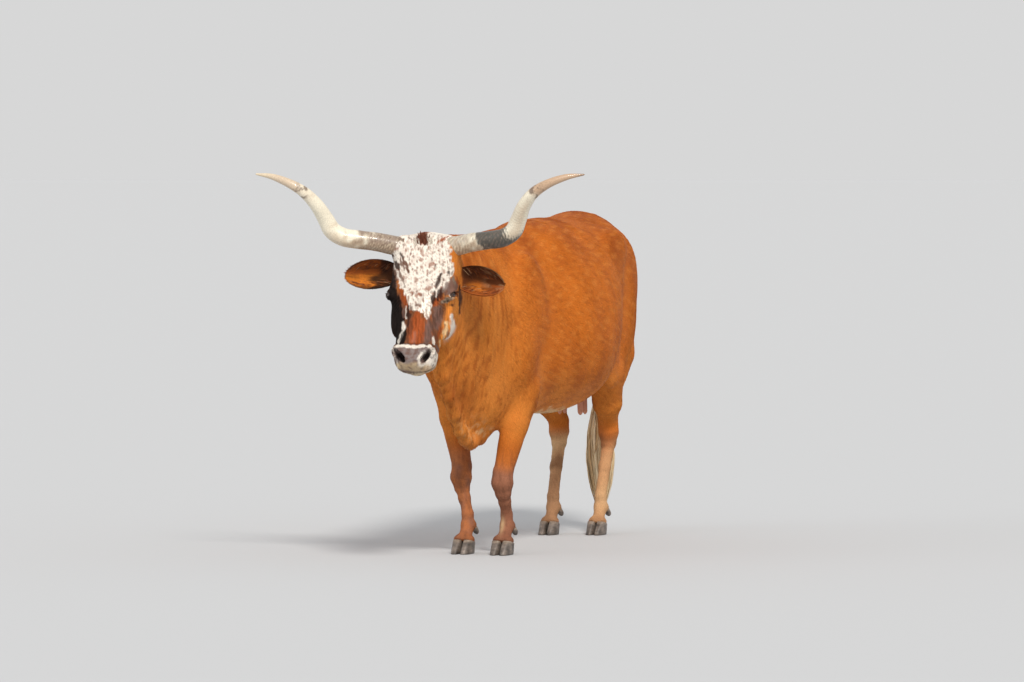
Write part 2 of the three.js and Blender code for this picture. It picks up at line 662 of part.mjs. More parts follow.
function turnedEgg(centre, radii, axes, across, down) {
  const ball = new THREE.SphereGeometry(1, across, down);
  const matrix = new THREE.Matrix4().makeBasis(
    new THREE.Vector3(...axes[0]).multiplyScalar(radii[0]),
    new THREE.Vector3(...axes[1]).multiplyScalar(radii[1]),
    new THREE.Vector3(...axes[2]).multiplyScalar(radii[2]));
  matrix.setPosition(...centre);
  const flipped = matrix.determinant() < 0;
  ball.applyMatrix4(matrix);
  if (flipped) {
    const order = Array.from(ball.index.array);
    ball.setIndex(order.map((_, i) => order[i - (i % 3) + (2 - (i % 3))]));
  }
  return ball;
}

const eyeCentre = (side) => onHead(side * eye.out, eye.along, eye.behind);

// Both lids of an eye, as one closed rim round the opening.
const lid = { long: 21, short: 14, proud: 9, thick: 5.5, turn: 0.6 };

function lidRim(side) {
  const outwards = unit(add(headLeft.map((v) => v * side), faceBack, -0.32));
  const slant = add(faceDown.map((v) => v * Math.cos(lid.turn)), faceBack, -Math.sin(lid.turn));
  const long = unit(add(slant, outwards, -dot(slant, outwards)));
  const short = cross(outwards, long);
  const centre = add(eyeCentre(side), outwards, lid.proud);
  const steps = 14;
  const sides = 6;
  const positions = [];
  const index = [];
  for (let i = 0; i < steps; i += 1) {
    const angle = (i / steps) * 2 * Math.PI;
    const towards = unit(add(long.map((v) => v * Math.cos(angle) * lid.long), short,
      Math.sin(angle) * lid.short));
    const middle = add(add(add(centre, long, Math.cos(angle) * lid.long), short,
      Math.sin(angle) * lid.short), outwards, -5 * Math.cos(angle) ** 2);
    for (let k = 0; k < sides; k += 1) {
      const turn = (k / sides) * 2 * Math.PI;
      positions.push(...add(add(middle, towards, lid.thick * Math.cos(turn)), outwards,
        lid.thick * Math.sin(turn)));
      const a = i * sides + k;
      const b = i * sides + ((k + 1) % sides);
      const c = ((i + 1) % steps) * sides + k;
      const d = ((i + 1) % steps) * sides + ((k + 1) % sides);
      index.push(a, b, d, a, d, c);
    }
  }
  return outward(positions, index);
}

// The line of the mouth: a thin slot all round the lips, from the middle to both corners.
const mouth = { front: [562, 66], corner: [448, 104], width: 4.5, depth: 9 };

function mouthSlot() {
  const run = [mouth.corner[0] - mouth.front[0], mouth.corner[1] - mouth.front[1]];
  const long = Math.hypot(...run);
  const along = add(faceDown.map((v) => (v * run[0]) / long), faceBack, run[1] / long);
  const thick = cross(along, headLeft);
  const box = new THREE.BoxGeometry(260, long + 30, mouth.width);
  const middle = onHead(0, (mouth.corner[0] + mouth.front[0]) / 2, (mouth.corner[1] + mouth.front[1]) / 2);
  const matrix = new THREE.Matrix4().makeBasis(
    new THREE.Vector3(...headLeft), new THREE.Vector3(...along), new THREE.Vector3(...thick).negate());
  matrix.setPosition(...add(middle, along, -15));
  box.applyMatrix4(matrix);
  const inside = castLoft(headStations, headAround, (p) => fleshDistance(p) + mouth.depth,
    behindThroat, onHead(0, -12, 80), onHead(0, 560 - mouth.depth, 62));
  return solidOf(box).subtract(solidOf(inside));
}

// Nostrils: slanted hollows on both sides of the nose pad, wider below.
const nostril = { out: 50, along: 518, behind: 10, steep: 1.1, radii: [13, 24, 25] };

function nostrilHollow(side) {
  const across = unit(add(headLeft.map((v) => v * side), faceDown, -nostril.steep));
  const deep = unit(add(faceBack, headLeft, -side * 0.35));
  const third = cross(across, deep);
  const axes = [third, across, unit(cross(third, across))];
  return solidOf(turnedEgg(onHead(side * nostril.out, nostril.along, nostril.behind),
    nostril.radii, axes, 10, 8));
}

let headSolid = solidOf(headLoft).subtract(neckSideBox());
for (const side of [1, -1]) {
  headSolid = headSolid.add(solidOf(lidRim(side))).subtract(nostrilHollow(side));
}
headSolid = headSolid.subtract(mouthSlot());
for (const side of [1, -1]) {
  const socket = turnedEgg(eyeCentre(side),
    [eye.radius + touchGap, eye.radius + touchGap, eye.radius + touchGap], headAxes, 12, 8);
  headSolid = headSolid.subtract(solidOf(socket));
}

// The tuft on the poll: locks that stand up between the horns and fall over the forehead.
const pollTuft = { locks: 13, halfOut: 46, halfWidth: 8, halfThick: 3, length: 62, sunk: 9, seed: 7 };

function pollLock(number, random) {
  const spread = (number / (pollTuft.locks - 1)) * 2 - 1;
  const row = number % 3;
  const out = spread * pollTuft.halfOut;
  const root = onHead(out, 2 + 13 * row, pollTuft.sunk + 2 * Math.abs(spread));
  const long = pollTuft.length * mix(0.75, 1.15, random()) * (1 - 0.25 * Math.abs(spread));
  const aside = spread * 0.7 + mix(-0.3, 0.3, random());
  const rise = mix(0.55, 0.25, row / 2);
  const path = [root];
  const steps = 4;
  for (let i = 1; i <= steps; i += 1) {
    const share = i / steps;
    const lift = pollTuft.sunk + long * (rise * share - 0.45 * rise * share ** 2);
    const along = long * (0.2 * share + 0.55 * share ** 2);
    path.push(add(add(add(root, faceBack, -lift), faceDown, along), headLeft, aside * long * 0.4 * share));
  }
  return lockSolid(path, faceBack, pollTuft.halfWidth, pollTuft.halfThick);
}

const pollRandom = seededNumbers(pollTuft.seed);
for (let i = 0; i < pollTuft.locks; i += 1) headSolid = headSolid.add(pollLock(i, pollRandom));
addNode('head', geometryOf(headSolid), faceCoat);

for (const side of [1, -1]) {
  const name = side > 0 ? 'left' : 'right';
  addNode(`eye_${name}`, turnedEgg(eyeCentre(side), [eye.radius, eye.radius, eye.radius],
    headAxes, 12, 8), eyeGloss);
}

// Horns
function hornPoint(side, stop) {
  return add(add([headPlace.x, hornBase.y, hornBase.z + stop.up], headLeft, side * stop.out),
    headForward, stop.forward);
}

function hornRings(side) {
  const line = new THREE.CatmullRomCurve3(
    hornCourse.map((stop) => new THREE.Vector3(...hornPoint(side, stop))), false, 'centripetal');
  const rings = [];
  for (let i = 0; i <= hornSteps; i += 1) {
    const share = i / hornSteps;
    const at = share * (hornCourse.length - 1);
    const low = Math.min(Math.floor(at), hornCourse.length - 2);
    const radius = mix(hornCourse[low].radius, hornCourse[low + 1].radius, at - low);
    const centre = line.getPoint(share).toArray();
    const ahead = line.getTangent(share).toArray();
    const across = unit(cross(ahead, [0, 1, 0.2]));
    const upward = unit(cross(across, ahead));
    const ring = [];
    for (let k = 0; k < hornSides; k += 1) {
      const angle = (k / hornSides) * 2 * Math.PI;
      ring.push(add(add(centre, across, radius * Math.cos(angle)), upward, radius * Math.sin(angle)));
    }
    rings.push(ring);
  }
  return rings;
}

for (const side of [1, -1]) {
  const horn = solidOf(closedLoft(hornRings(side))).subtract(grownHead).subtract(grownNeck);
  addNode(side > 0 ? 'horn_left' : 'horn_right', geometryOf(horn), hornSkin);
}

// Ears: a leaf that is hollow towards the front, on a short round root.
function earRings(side) {
  const { length: earLength, along, drop, sweep } = earPose[side > 0 ? 'left' : 'right'];
  const root = onHead(side * 100, along, 118);
  const course = unit(add(add(headLeft.map((v) => v * side), [0, 0, 1], drop), headForward, sweep));
  const facing = unit(add(headForward, [0, 0, 1], 0.1));
  const upward = unit(cross(course, facing)).map((v) => v * (side > 0 ? 1 : -1));
  const rings = [];
  for (let i = 0; i <= ear.steps; i += 1) {
    const share = i / ear.steps;
    const widthShare = Math.sin(Math.PI * clamp(share * 0.88 + 0.11, 0, 1) ** 1.3) ** 0.5;
    const half = Math.max((ear.width / 2) * widthShare, 3);
    const depth = half * mix(0.9, 0.42, share);
    const open = clamp((share - 0.1) / 0.25, 0, 1);
    const centre = add(add(root, course, share * earLength), [0, 0, -1], 10 * share * share);
    const outer = [];
    const inner = [];
    for (let k = 0; k < ear.around; k += 1) {
      const angle = mix(-0.5, 0.5, k / (ear.around - 1)) * Math.PI * 1.06;
      const rim = Math.abs(k - (ear.around - 1) / 2) === (ear.around - 1) / 2 ? 0.6 : 1;
      const wall = ear.shell * rim * mix(1.2, 0.7, share);
      const height = half * Math.sin(angle);
      const back = depth * Math.cos(angle);
      outer.push(add(add(centre, upward, height), facing, -back));
      const closedFront = half * 0.5 * Math.cos(angle);
      const front = mix(closedFront, -back + wall, open);
      inner.push(add(add(centre, upward, height * mix(0.98, 0.9, open)), facing, front));
    }
    rings.push([...outer, ...inner.reverse()]);
  }
  return rings;
}

for (const side of [1, -1]) {
  const leaf = solidOf(closedLoft(earRings(side))).subtract(grownHead).subtract(grownNeck);
  addNode(side > 0 ? 'ear_left' : 'ear_right', geometryOf(leaf), redCoat);
}

// Stations in level planes, for the udder and the legs.
function levelStation(centre, reach, lean = 0) {
  return { centre, side: [1, 0, 0], up: [0, Math.cos(lean), Math.sin(lean)], reach };
}

// Udder
const udder = { x: 0, y: 505, z: 640, radii: [86, 92, 88] };
const teats = { out: 42, front: 486, rear: 548, top: 576, tip: 514 };

function udderGeometry(grown) {
  const form = egg([udder.x, udder.y, udder.z], udder.radii, 30);
  const legs = (p) => joinForms(400, legParts[p[0] > 0 ? 'hindleg_left' : 'hindleg_right'], p);
  const distance = (p) => Math.max(eggDistance(form, p), 3 - legs(p), hindFront + halfGap - p[1]) - grown;
  const levels = [hindTop - halfGap + grown, 676, 648, 620, 592, 570, 556 - grown];
  const stations = levels.map((z) => levelStation([udder.x, udder.y, z], 200));
  return solidOf(castLoft(stations, 16, distance, null, null, [udder.x, udder.y, 549 - grown]));
}

function teatGeometry(x, y) {
  const profile = [[0, teats.tip], [6, teats.tip + 2], [8.5, teats.tip + 14], [10, teats.tip + 34],
    [12, teats.top], [12, teats.top + 18], [0, teats.top + 18]].map(([r, z]) => new THREE.Vector2(r, z));
  const lathe = new THREE.LatheGeometry(profile, 6);
  lathe.rotateX(Math.PI / 2);
  lathe.translate(x, y, 0);
  return lathe;
}

const grownUdder = udderGeometry(touchGap);
let udderSolid = udderGeometry(0);
for (const x of [teats.out, -teats.out]) {
  for (const y of [teats.front, teats.rear]) udderSolid = udderSolid.add(solidOf(teatGeometry(x, y)));
}
addNode('udder', geometryOf(udderSolid), bareSkin);

// Legs
function coronetHeight(foot, y, lift) {
  return coronet.height + lift - (y - foot.y - coronet.behind) * coronet.slope;
}

const legAround = 14;
const coronetLean = -Math.atan(coronet.slope);

function legLoft(course, top, bottom, steps, limit, foot, grown = 0) {
  const stations = [];
  for (let i = 0; i <= steps; i += 1) {
    const height = mix(top, bottom, i / steps);
    let k = 0;
    while (k < course.length - 2 && course[k + 1][2] > height) k += 1;
    const share = (course[k][2] - height) / (course[k][2] - course[k + 1][2]);
    const centre = [mix(course[k][0], course[k + 1][0], share),
      mix(course[k][1], course[k + 1][1], share), height];
    stations.push(levelStation(centre, 330));
  }
  if (foot) {
    const centre = [foot.x, foot.y + coronet.behind, coronet.height + halfGap];
    const middle = [foot.x, mix(foot.y + coronet.behind, stations[steps].centre[1], 0.5),
      mix(coronet.height, bottom, 0.5)];
    stations.push(levelStation(middle, 200, coronetLean * 0.6));
    stations.push(levelStation(centre, 200, coronetLean));
  }
  return castLoft(stations, legAround, (p) => fleshDistance(p) - grown, limit);
}

// Dewclaws: two small blunt claws behind each fetlock, on the skin of the leg.
const dewclaw = { out: 18, back: 22, below: 14, long: 36, halfWidth: 13, halfDeep: 11, around: 6 };

function dewclawSolid(fetlock, side) {
  const root = add(fetlock, [side * dewclaw.out, dewclaw.back, -dewclaw.below]);
  const course = unit([side * 0.2, 0.55, -0.8]);
  const across = unit(cross(course, [0, 1, 0]));
  const upward = cross(across, course);
  const profile = [[0, 1], [0.4, 1.05], [0.75, 0.84], [0.94, 0.48]];
  const rings = profile.map(([share, size]) => {
    const ring = [];
    for (let k = 0; k < dewclaw.around; k += 1) {
      const angle = (k / dewclaw.around) * 2 * Math.PI;
      ring.push(add(add(add(root, course, share * dewclaw.long), across,
        dewclaw.halfWidth * size * Math.cos(angle)), upward, dewclaw.halfDeep * size * Math.sin(angle)));
    }
    return ring;
  });
  return solidOf(closedLoft(rings, root, add(root, course, dewclaw.long)));
}

for (const [name, { elbow, stifle, knee, hock, fetlock }] of Object.entries(joints)) {
  const side = name.endsWith('left') ? 1 : -1;
  const fore = name.startsWith('foreleg');
  const upper = elbow ?? stifle;
  const bend = knee ?? hock;
  const foot = feet[name];
  const inner = fore ? forelegInner + halfGap : middleGap;
  const chestLimit = (p) => (p[2] > 500
    ? Math.abs(p[1] - upper[1] + (forelegReach.ahead - forelegReach.behind) / 2)
      - (forelegReach.ahead + forelegReach.behind) / 2 + halfGap : -Infinity);
  const limit = (p) => Math.max(inner - side * p[0],
    fore ? chestLimit(p) : hindFront + halfGap - p[1]);
  const course = [
    fore ? [upper[0] - side * 6, upper[1] - 10, 720] : [upper[0] - side * 22, upper[1] + 80, 760],
    fore ? [upper[0] - side * 10, upper[1] - 14, 600] : [upper[0] - side * 20, upper[1] + 95, 640],
    [bend[0], bend[1] + (fore ? 4 : 8), bend[2]],
    [bend[0], bend[1] + (fore ? 6 : 2), bend[2] - 60],
    [fetlock[0], fetlock[1] + 6, fetlock[2]],
    [foot.x, foot.y + coronet.behind, coronet.height - 10],
  ];
  const top = (fore ? foreTop : hindTop) - halfGap;
  const split = bend[2] - 52;
  const upperLeg = legLoft(course, top, split + halfGap, 12, limit);
  addNode(name.replace('leg', 'leg_upper'),
    fore ? upperLeg : geometryOf(solidOf(upperLeg).subtract(grownUdder)), redCoat);
  addNode(name.replace('leg', 'leg_lower'), legLoft(course, split - halfGap, 84, 9, null, foot), redCoat);
  const grownLeg = solidOf(legLoft(course, split - halfGap, 84, 9, null, foot, touchGap));
  for (const outer of [1, -1]) {
    const node = name.replace('leg', '_dewclaw') + (outer > 0 ? '_outer' : '_inner');
    addNode(node, geometryOf(dewclawSolid(fetlock, outer * side).subtract(grownLeg)), clawHorn);
  }
}

// Claws: two on each foot, flat below, their tops on the slope of the coronet.
function clawGeometry(foot, side) {
  const count = 12;
  const levels = [0, 0.12, 0.55, 1];
  const rings = levels.map((level) => {
    const ring = [];
    for (let i = 0; i < count; i += 1) {
      const angle = (i / count) * 2 * Math.PI;
      const forward = Math.cos(angle);
      const outwards = Math.sin(angle);
      const sole = mix(claw.heel, claw.toe, (forward + 1) / 2);
      const top = mix(claw.topBack, claw.topFront, (forward + 1) / 2);
      const ahead = mix(sole, top, level) * foot.spread;
      const bulge = outwards > 0 ? Math.abs(outwards) ** 0.75 : -(Math.abs(outwards) ** 0.5);
      const wide = claw.halfWidth * (level < 0.1 ? 0.95 : 1 - 0.04 * level) * foot.spread;
      const turned = claw.toeIn * (outwards > 0 ? 1 : claw.innerTurn);
      const toeIn = -turned * ((forward + 1) / 2) ** 2 * (1 - level);
      const x = (claw.cleft + claw.halfWidth) * foot.spread + wide * bulge + toeIn;
      const y = foot.y - ahead;
      const height = level * coronetHeight(foot, y, -halfGap);
      ring.push([foot.x + side * Math.max(x, claw.cleft * 0.8), y, height]);
    }
    return ring;
  });
  return closedLoft(rings);
}

for (const [name, foot] of Object.entries(feet)) {
  for (const side of [1, -1]) {
    const inner = Math.sign(foot.x) !== side;
    addNode(name.replace('leg', '_claw') + (inner ? '_inner' : '_outer'),
      clawGeometry(foot, side), clawHorn);
  }
}

// Tail: from the tail head down behind the thighs, then the switch of long hair.
const tailCourse = [
  { y: 800, z: 1300, radius: 34 },
  { y: 858, z: 1288, radius: 32 },
  { y: 890, z: 1230, radius: 27 },
  { y: 900, z: 1130, radius: 22 },
  { y: 898, z: 980, radius: 18 },
  { y: 892, z: 800, radius: 15 },
  { y: 888, z: 640, radius: 13 },
  { y: 884, z: 560, radius: 13 },
];
const switchTop = 600;
const switchTip = 80;

function tailRings() {
  const line = new THREE.CatmullRomCurve3(
    tailCourse.map((stop) => new THREE.Vector3(0, stop.y, stop.z)), false, 'centripetal');
  const steps = 16;
  const rings = [];
  for (let i = 0; i <= steps; i += 1) {
    const share = i / steps;
    const at = share * (tailCourse.length - 1);
    const low = Math.min(Math.floor(at), tailCourse.length - 2);
    const radius = mix(tailCourse[low].radius, tailCourse[low + 1].radius, at - low);
    const centre = line.getPoint(share).toArray();
    const ahead = line.getTangent(share).toArray();
    const upward = unit(cross([1, 0, 0], ahead));
    const ring = [];
    for (let k = 0; k < 12; k += 1) {
      const angle = (k / 12) * 2 * Math.PI;
      ring.push(add(add(centre, [1, 0, 0], radius * 1.08 * Math.cos(angle)), upward,
        radius * Math.sin(angle)));
    }
    rings.push(ring);
  }
  return rings;
}

const tailSolid = solidOf(closedLoft(tailRings())).subtract(grownTrunk)
  .subtract(boxSolid([-60, 820, 0], [60, 960, switchTop + halfGap]));
addNode('tail', geometryOf(tailSolid), redCoat);

// The switch: a full core of hair and flat locks that hang over it, their roots sunk in it.
const switchY = 886;
const switchProfile = [[0, 96], [13, 122], [32, 190], [43, 300], [39, 420], [25, 540],
  [14, switchTop - halfGap]];
const switchLocks = { count: 32, halfWidth: 11, halfThick: 3.6, sunk: 6, proud: 7, seed: 11 };

function switchRadius(z) {
  let k = 0;
  while (k < switchProfile.length - 2 && switchProfile[k + 1][1] < z) k += 1;
  const [r0, z0] = switchProfile[k];
  const [r1, z1] = switchProfile[k + 1];
  return mix(r0, r1, clamp((z - z0) / (z1 - z0), 0, 1));
}

function switchCore() {
  const profile = [...switchProfile, [0, switchTop - halfGap]].map(([r, z]) => new THREE.Vector2(r, z));
  const lathe = new THREE.LatheGeometry(profile, 12);
  lathe.rotateX(Math.PI / 2);
  lathe.translate(0, switchY, 0);
  return solidOf(lathe);
}

function switchLock(number, random) {
  const goldenTurn = Math.PI * (3 - Math.sqrt(5));
  const around = number * goldenTurn;
  const rootZ = mix(570, 290, (number / switchLocks.count) ** 0.9);
  const tipZ = Math.max(rootZ - mix(210, 320, random()), mix(switchTip, 150, random()));
  const bend = mix(-0.35, 0.35, random());
  const steps = 4;
  const path = [];
  for (let i = 0; i <= steps; i += 1) {
    const share = i / steps;
    const z = mix(rootZ, tipZ, share);
    const away = switchRadius(z) - switchLocks.sunk
      + (switchLocks.sunk + switchLocks.proud) * clamp(share * 2.2, 0, 1);
    const angle = around + bend * share ** 2;
    path.push([away * Math.cos(angle), switchY + away * Math.sin(angle), z]);
  }
  return lockSolid(path, [Math.cos(around), Math.sin(around), 0],
    switchLocks.halfWidth * mix(0.8, 1.15, random()), switchLocks.halfThick);
}

const switchRandom = seededNumbers(switchLocks.seed);
let switchSolid = switchCore();
for (let i = 0; i < switchLocks.count; i += 1) {
  switchSolid = switchSolid.add(switchLock(i, switchRandom));
}
addNode('tail_switch', geometryOf(switchSolid), tailHair);

// The origin is on the floor, under the middle of the whole cow.
const bounds = new THREE.Box3().setFromObject(group);
const middle = bounds.getCenter(new THREE.Vector3());
group.position.set(-middle.x, -middle.y, -bounds.min.z);
group.updateMatrixWorld(true);

export default group;
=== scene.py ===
import math
import bpy
import bmesh
import numpy as np
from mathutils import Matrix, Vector


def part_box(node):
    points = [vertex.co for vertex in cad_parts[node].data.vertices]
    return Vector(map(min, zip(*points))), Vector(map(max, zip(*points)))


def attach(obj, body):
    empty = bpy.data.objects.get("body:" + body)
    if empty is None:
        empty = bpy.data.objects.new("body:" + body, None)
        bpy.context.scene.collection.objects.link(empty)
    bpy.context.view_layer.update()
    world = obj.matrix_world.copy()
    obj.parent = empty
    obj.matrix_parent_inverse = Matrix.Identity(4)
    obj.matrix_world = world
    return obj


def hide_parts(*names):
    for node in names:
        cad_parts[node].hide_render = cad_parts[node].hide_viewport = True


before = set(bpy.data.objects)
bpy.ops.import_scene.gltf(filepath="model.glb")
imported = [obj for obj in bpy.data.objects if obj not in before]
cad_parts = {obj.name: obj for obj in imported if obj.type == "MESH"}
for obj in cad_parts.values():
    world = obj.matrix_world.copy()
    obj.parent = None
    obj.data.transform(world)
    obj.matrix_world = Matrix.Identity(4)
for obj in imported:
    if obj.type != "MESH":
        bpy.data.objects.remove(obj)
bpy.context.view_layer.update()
mm = 0.001
tiny = 1e-6  # keeps a ratio away from zero
sideName = {1: "left", -1: "right"}

# The shape is worked out in millimetres in the maker's own frame: the cow looks along -Y, its left
# side is +X, and the floor is at 0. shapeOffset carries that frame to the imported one.

trunkSections = [
    # y, top, bottom, half width, height of the widest place, roundness above and below it
    (862, 1262, 1120, 40, 1195, 2.0, 2.0),
    (845, 1300, 1040, 88, 1190, 2.0, 2.0),
    (800, 1334, 960, 132, 1180, 2.0, 2.0),
    (700, 1362, 850, 186, 1160, 1.9, 2.0),
    (600, 1371, 745, 222, 1130, 1.9, 2.1),
    (480, 1366, 662, 244, 1090, 2.0, 2.2),
    (360, 1358, 596, 278, 990, 2.1, 2.2),
    (220, 1350, 548, 316, 900, 2.1, 2.15),
    (60, 1349, 537, 330, 880, 2.05, 2.1),
    (-120, 1349, 537, 306, 880, 1.95, 2.1),
    (-300, 1330, 532, 252, 880, 1.8, 2.2),
    (-450, 1316, 520, 222, 880, 1.65, 2.3),
    (-600, 1304, 500, 200, 870, 1.75, 2.1),
    (-720, 1300, 496, 172, 900, 1.8, 1.8),
    (-850, 1300, 562, 144, 980, 1.9, 1.65),
    (-1000, 1300, 690, 121, 1070, 2.0, 1.55),
    (-1120, 1302, 790, 110, 1100, 2.1, 1.6),
    (-1230, 1296, 960, 96, 1130, 2.2, 2.0),
]
headSections = [
    # along the face, back, front, half width, depth of the widest place, roundness behind and before it
    (-22, 122, 38, 102, 80, 2.0, 2.5),
    (0, 160, 14, 122, 78, 2.0, 2.6),
    (60, 205, 0, 127, 84, 2.0, 2.9),
    (130, 240, -5, 128, 88, 2.0, 2.9),
    (200, 262, -7, 128, 86, 2.0, 2.6),
    (250, 266, -4, 121, 88, 2.0, 2.3),
    (300, 256, 0, 108, 96, 1.9, 2.1),
    (345, 232, 3, 95, 96, 1.9, 2.1),
    (390, 202, 3, 90, 84, 2.0, 2.2),
    (430, 174, 1, 87, 74, 2.2, 2.3),
    (470, 152, -3, 85, 66, 2.2, 2.4),
    (508, 134, -4, 84, 60, 2.2, 2.4),
    (535, 122, 4, 76, 60, 2.2, 2.4),
    (552, 106, 20, 54, 60, 2.1, 2.2),
    (560, 88, 40, 30, 60, 2.0, 2.0),
]
head = {"origin": np.array([0.0, -1262.0, 1300.0]), "turn": math.radians(9), "tilt": math.radians(27)}
eye = {"along": 238, "behind": 46, "out": 116, "radius": 19}
joints = {
    "foreLeft": {"top": (150, -530, 672), "bend": (96, -622, 292), "fetlock": (88, -550, 115)},
    "foreRight": {"top": (-184, -510, 694), "bend": (-106, -556, 308), "fetlock": (-80, -550, 115)},
    "hindLeft": {"top": (150, 500, 690), "bend": (106, 686, 432), "fetlock": (92, 618, 115)},
    "hindRight": {"top": (-152, 485, 690), "bend": (-112, 672, 432), "fetlock": (-100, 556, 115)},
}
feet = {
    "foreLeft": {"x": 88, "y": -614, "spread": 1.0},
    "foreRight": {"x": -80, "y": -614, "spread": 1.0},
    "hindLeft": {"x": 92, "y": 556, "spread": 0.93},
    "hindRight": {"x": -100, "y": 494, "spread": 0.93},
}
coronet = {"height": 48, "slope": 0.3, "behind": 17}

headForward = np.array([math.sin(head["turn"]), -math.cos(head["turn"]), 0.0])
headLeft = np.array([math.cos(head["turn"]), math.sin(head["turn"]), 0.0])
faceDown = np.array([0, 0, -math.cos(head["tilt"])]) + headForward * math.sin(head["tilt"])
faceBack = np.array([0, 0, -math.sin(head["tilt"])]) - headForward * math.cos(head["tilt"])
headAxes = np.array([headLeft, faceDown, faceBack])


def unit(v):
    v = np.asarray(v, float)
    return v / np.maximum(np.linalg.norm(v, axis=-1, keepdims=True), 1e-9)


def onHead(out, along, behind):
    return head["origin"] + headLeft * out + faceDown * along + faceBack * behind


def headPlace(points):
    away = points - head["origin"]
    return away @ headLeft, away @ faceDown, away @ faceBack


def smoothStep(low, high, value):
    t = np.clip((value - low) / (high - low), 0, 1)
    return t * t * (3 - 2 * t)


def bell(value, middle, width):
    return np.exp(-((value - middle) / width) ** 2)


def smoothCurve(knots, values, slopes, fine):
    # The smooth curve through the values at the knots, read at the fine places.
    i = np.clip(np.searchsorted(knots, fine, side="right") - 1, 0, len(knots) - 2)
    span = (knots[i + 1] - knots[i])[:, None]
    t = ((fine - knots[i]) / span[:, 0])[:, None]
    return ((2 * t**3 - 3 * t**2 + 1) * values[i] + (t**3 - 2 * t**2 + t) * span * slopes[i]
            + (3 * t**2 - 2 * t**3) * values[i + 1] + (t**3 - t**2) * span * slopes[i + 1])


def sectionTable(sections, step=2.0):
    rows = np.array(sorted(sections), float)
    places, values = rows[:, 0], rows[:, 1:]
    before = np.maximum(np.arange(len(rows)) - 1, 0)
    after = np.minimum(np.arange(len(rows)) + 1, len(rows) - 1)
    slopes = (values[after] - values[before]) / (places[after] - places[before])[:, None]
    fine = np.append(np.arange(places[0], places[-1], step), places[-1])
    return fine, smoothCurve(places, values, slopes, fine)


trunkTable = sectionTable(trunkSections)
headTable = sectionTable(headSections)


def sectionDistance(table, place, side, height):
    fine, values = table
    top, bottom, half, mid, upper, lower = [np.interp(place, fine, values[:, i]) for i in range(6)]
    rise = height - mid
    reach = np.where(rise > 0, top - mid, mid - bottom)
    power = np.where(rise > 0, upper, lower)
    ratio = (np.abs(side / half) ** power + np.abs(rise / reach) ** power) ** (1 / power)
    radius = np.hypot(side, rise)
    outside = radius * (1 - 1 / np.maximum(ratio, tiny))
    across = np.where(ratio < tiny, -np.minimum(half, np.abs(reach)), outside)
    past = np.maximum(np.maximum(fine[0] - place, place - fine[-1]), 0)
    beyond = np.where(across > 0, np.hypot(across, past), np.maximum(across, past))
    return np.where(past == 0, across, beyond)


def joinSmooth(a, b, softness):
    near = np.maximum(softness - np.abs(a - b), 0) / softness
    return np.minimum(a, b) - near * near * softness * 0.25


def carveSmooth(a, b, softness):
    return -joinSmooth(-a, b, softness)


def chainDistance(stops, points):
    nearest = None
    stops = np.array(stops, float)
    for a, b in zip(stops[:-1], stops[1:]):
        line = b[:3] - a[:3]
        share = np.clip((points - a[:3]) @ line / (line @ line), 0, 1)
        away = np.linalg.norm(points - (a[:3] + share[:, None] * line), axis=1)
        distance = away - (a[3] + (b[3] - a[3]) * share)
        nearest = distance if nearest is None else joinSmooth(nearest, distance, 18)
    return nearest


def eggDistance(centre, radii, axes, points):
    away = points - centre
    ratio = np.linalg.norm((away @ axes.T) / radii, axis=1)
    far = np.linalg.norm(away, axis=1)
    return np.where(ratio < tiny, -min(radii), far * (1 - 1 / np.maximum(ratio, tiny)))


def egg(centre, radii, softness, lean=0.0):
    c, s = math.cos(lean), math.sin(lean)
    axes = np.array([[1, 0, 0], [0, c, s], [0, -s, c]], float)
    return "egg", (np.array(centre, float), np.array(radii, float), axes), softness


def headEgg(out, along, behind, radii, softness):
    return "egg", (onHead(out, along, behind), np.array(radii, float), headAxes), softness


def chain(stops, softness):
    return "chain", stops, softness


def shift(p, move, radius=None):
    moved = [p[0] + move[0], p[1] + move[1], p[2] + move[2]]
    return moved if radius is None else moved + [radius]


def part(a, b, share):
    return [a[i] + (b[i] - a[i]) * share for i in range(3)]


def pasternForms(fetlock, foot, radius, apart):
    back = foot["y"] + coronet["behind"]
    forms = [
        egg(shift(fetlock, (0, 17, -4)), (30, 22, 24), 12),
        chain([[*fetlock, 27], [foot["x"], back + 6, coronet["height"] + 8, radius + 1]], 12),
    ]
    for side in (apart, -apart):
        forms.append(chain([[foot["x"] + side, back, coronet["height"] + 4, radius],
                            [foot["x"] + side, back - 4, coronet["height"] - 20, radius + 1]], 14))
    return forms


def forelegForms(side, name):
    elbow, knee, fetlock = [joints[name][k] for k in ("top", "bend", "fetlock")]
    kneeTop, kneeLow = shift(knee, (0, 2, 42)), shift(knee, (0, 4, -40))
    low = shift(fetlock, (0, -6, 42))
    return [
        chain([[*elbow, 72], [*part(elbow, kneeTop, 0.42), 58], [*kneeTop, 40]], 34),
        chain([shift(elbow, (side * 6, 34, -60), 40), shift(kneeTop, (0, 16, 10), 26)], 26),
        chain([[*kneeTop, 39], shift(knee, (0, -6, 0), 42), [*kneeLow, 33]], 14),
        chain([[*kneeLow, 31], [*part(kneeLow, low, 0.4), 23], [*low, 23.5]], 12),
        chain([shift(kneeLow, (0, 17, 0), 21), shift(low, (0, 18, 0), 16)], 10),
        chain([[*low, 23], shift(fetlock, (0, -3, 0), 29)], 12),
        *pasternForms(fetlock, feet[name], 26, 19),
    ]


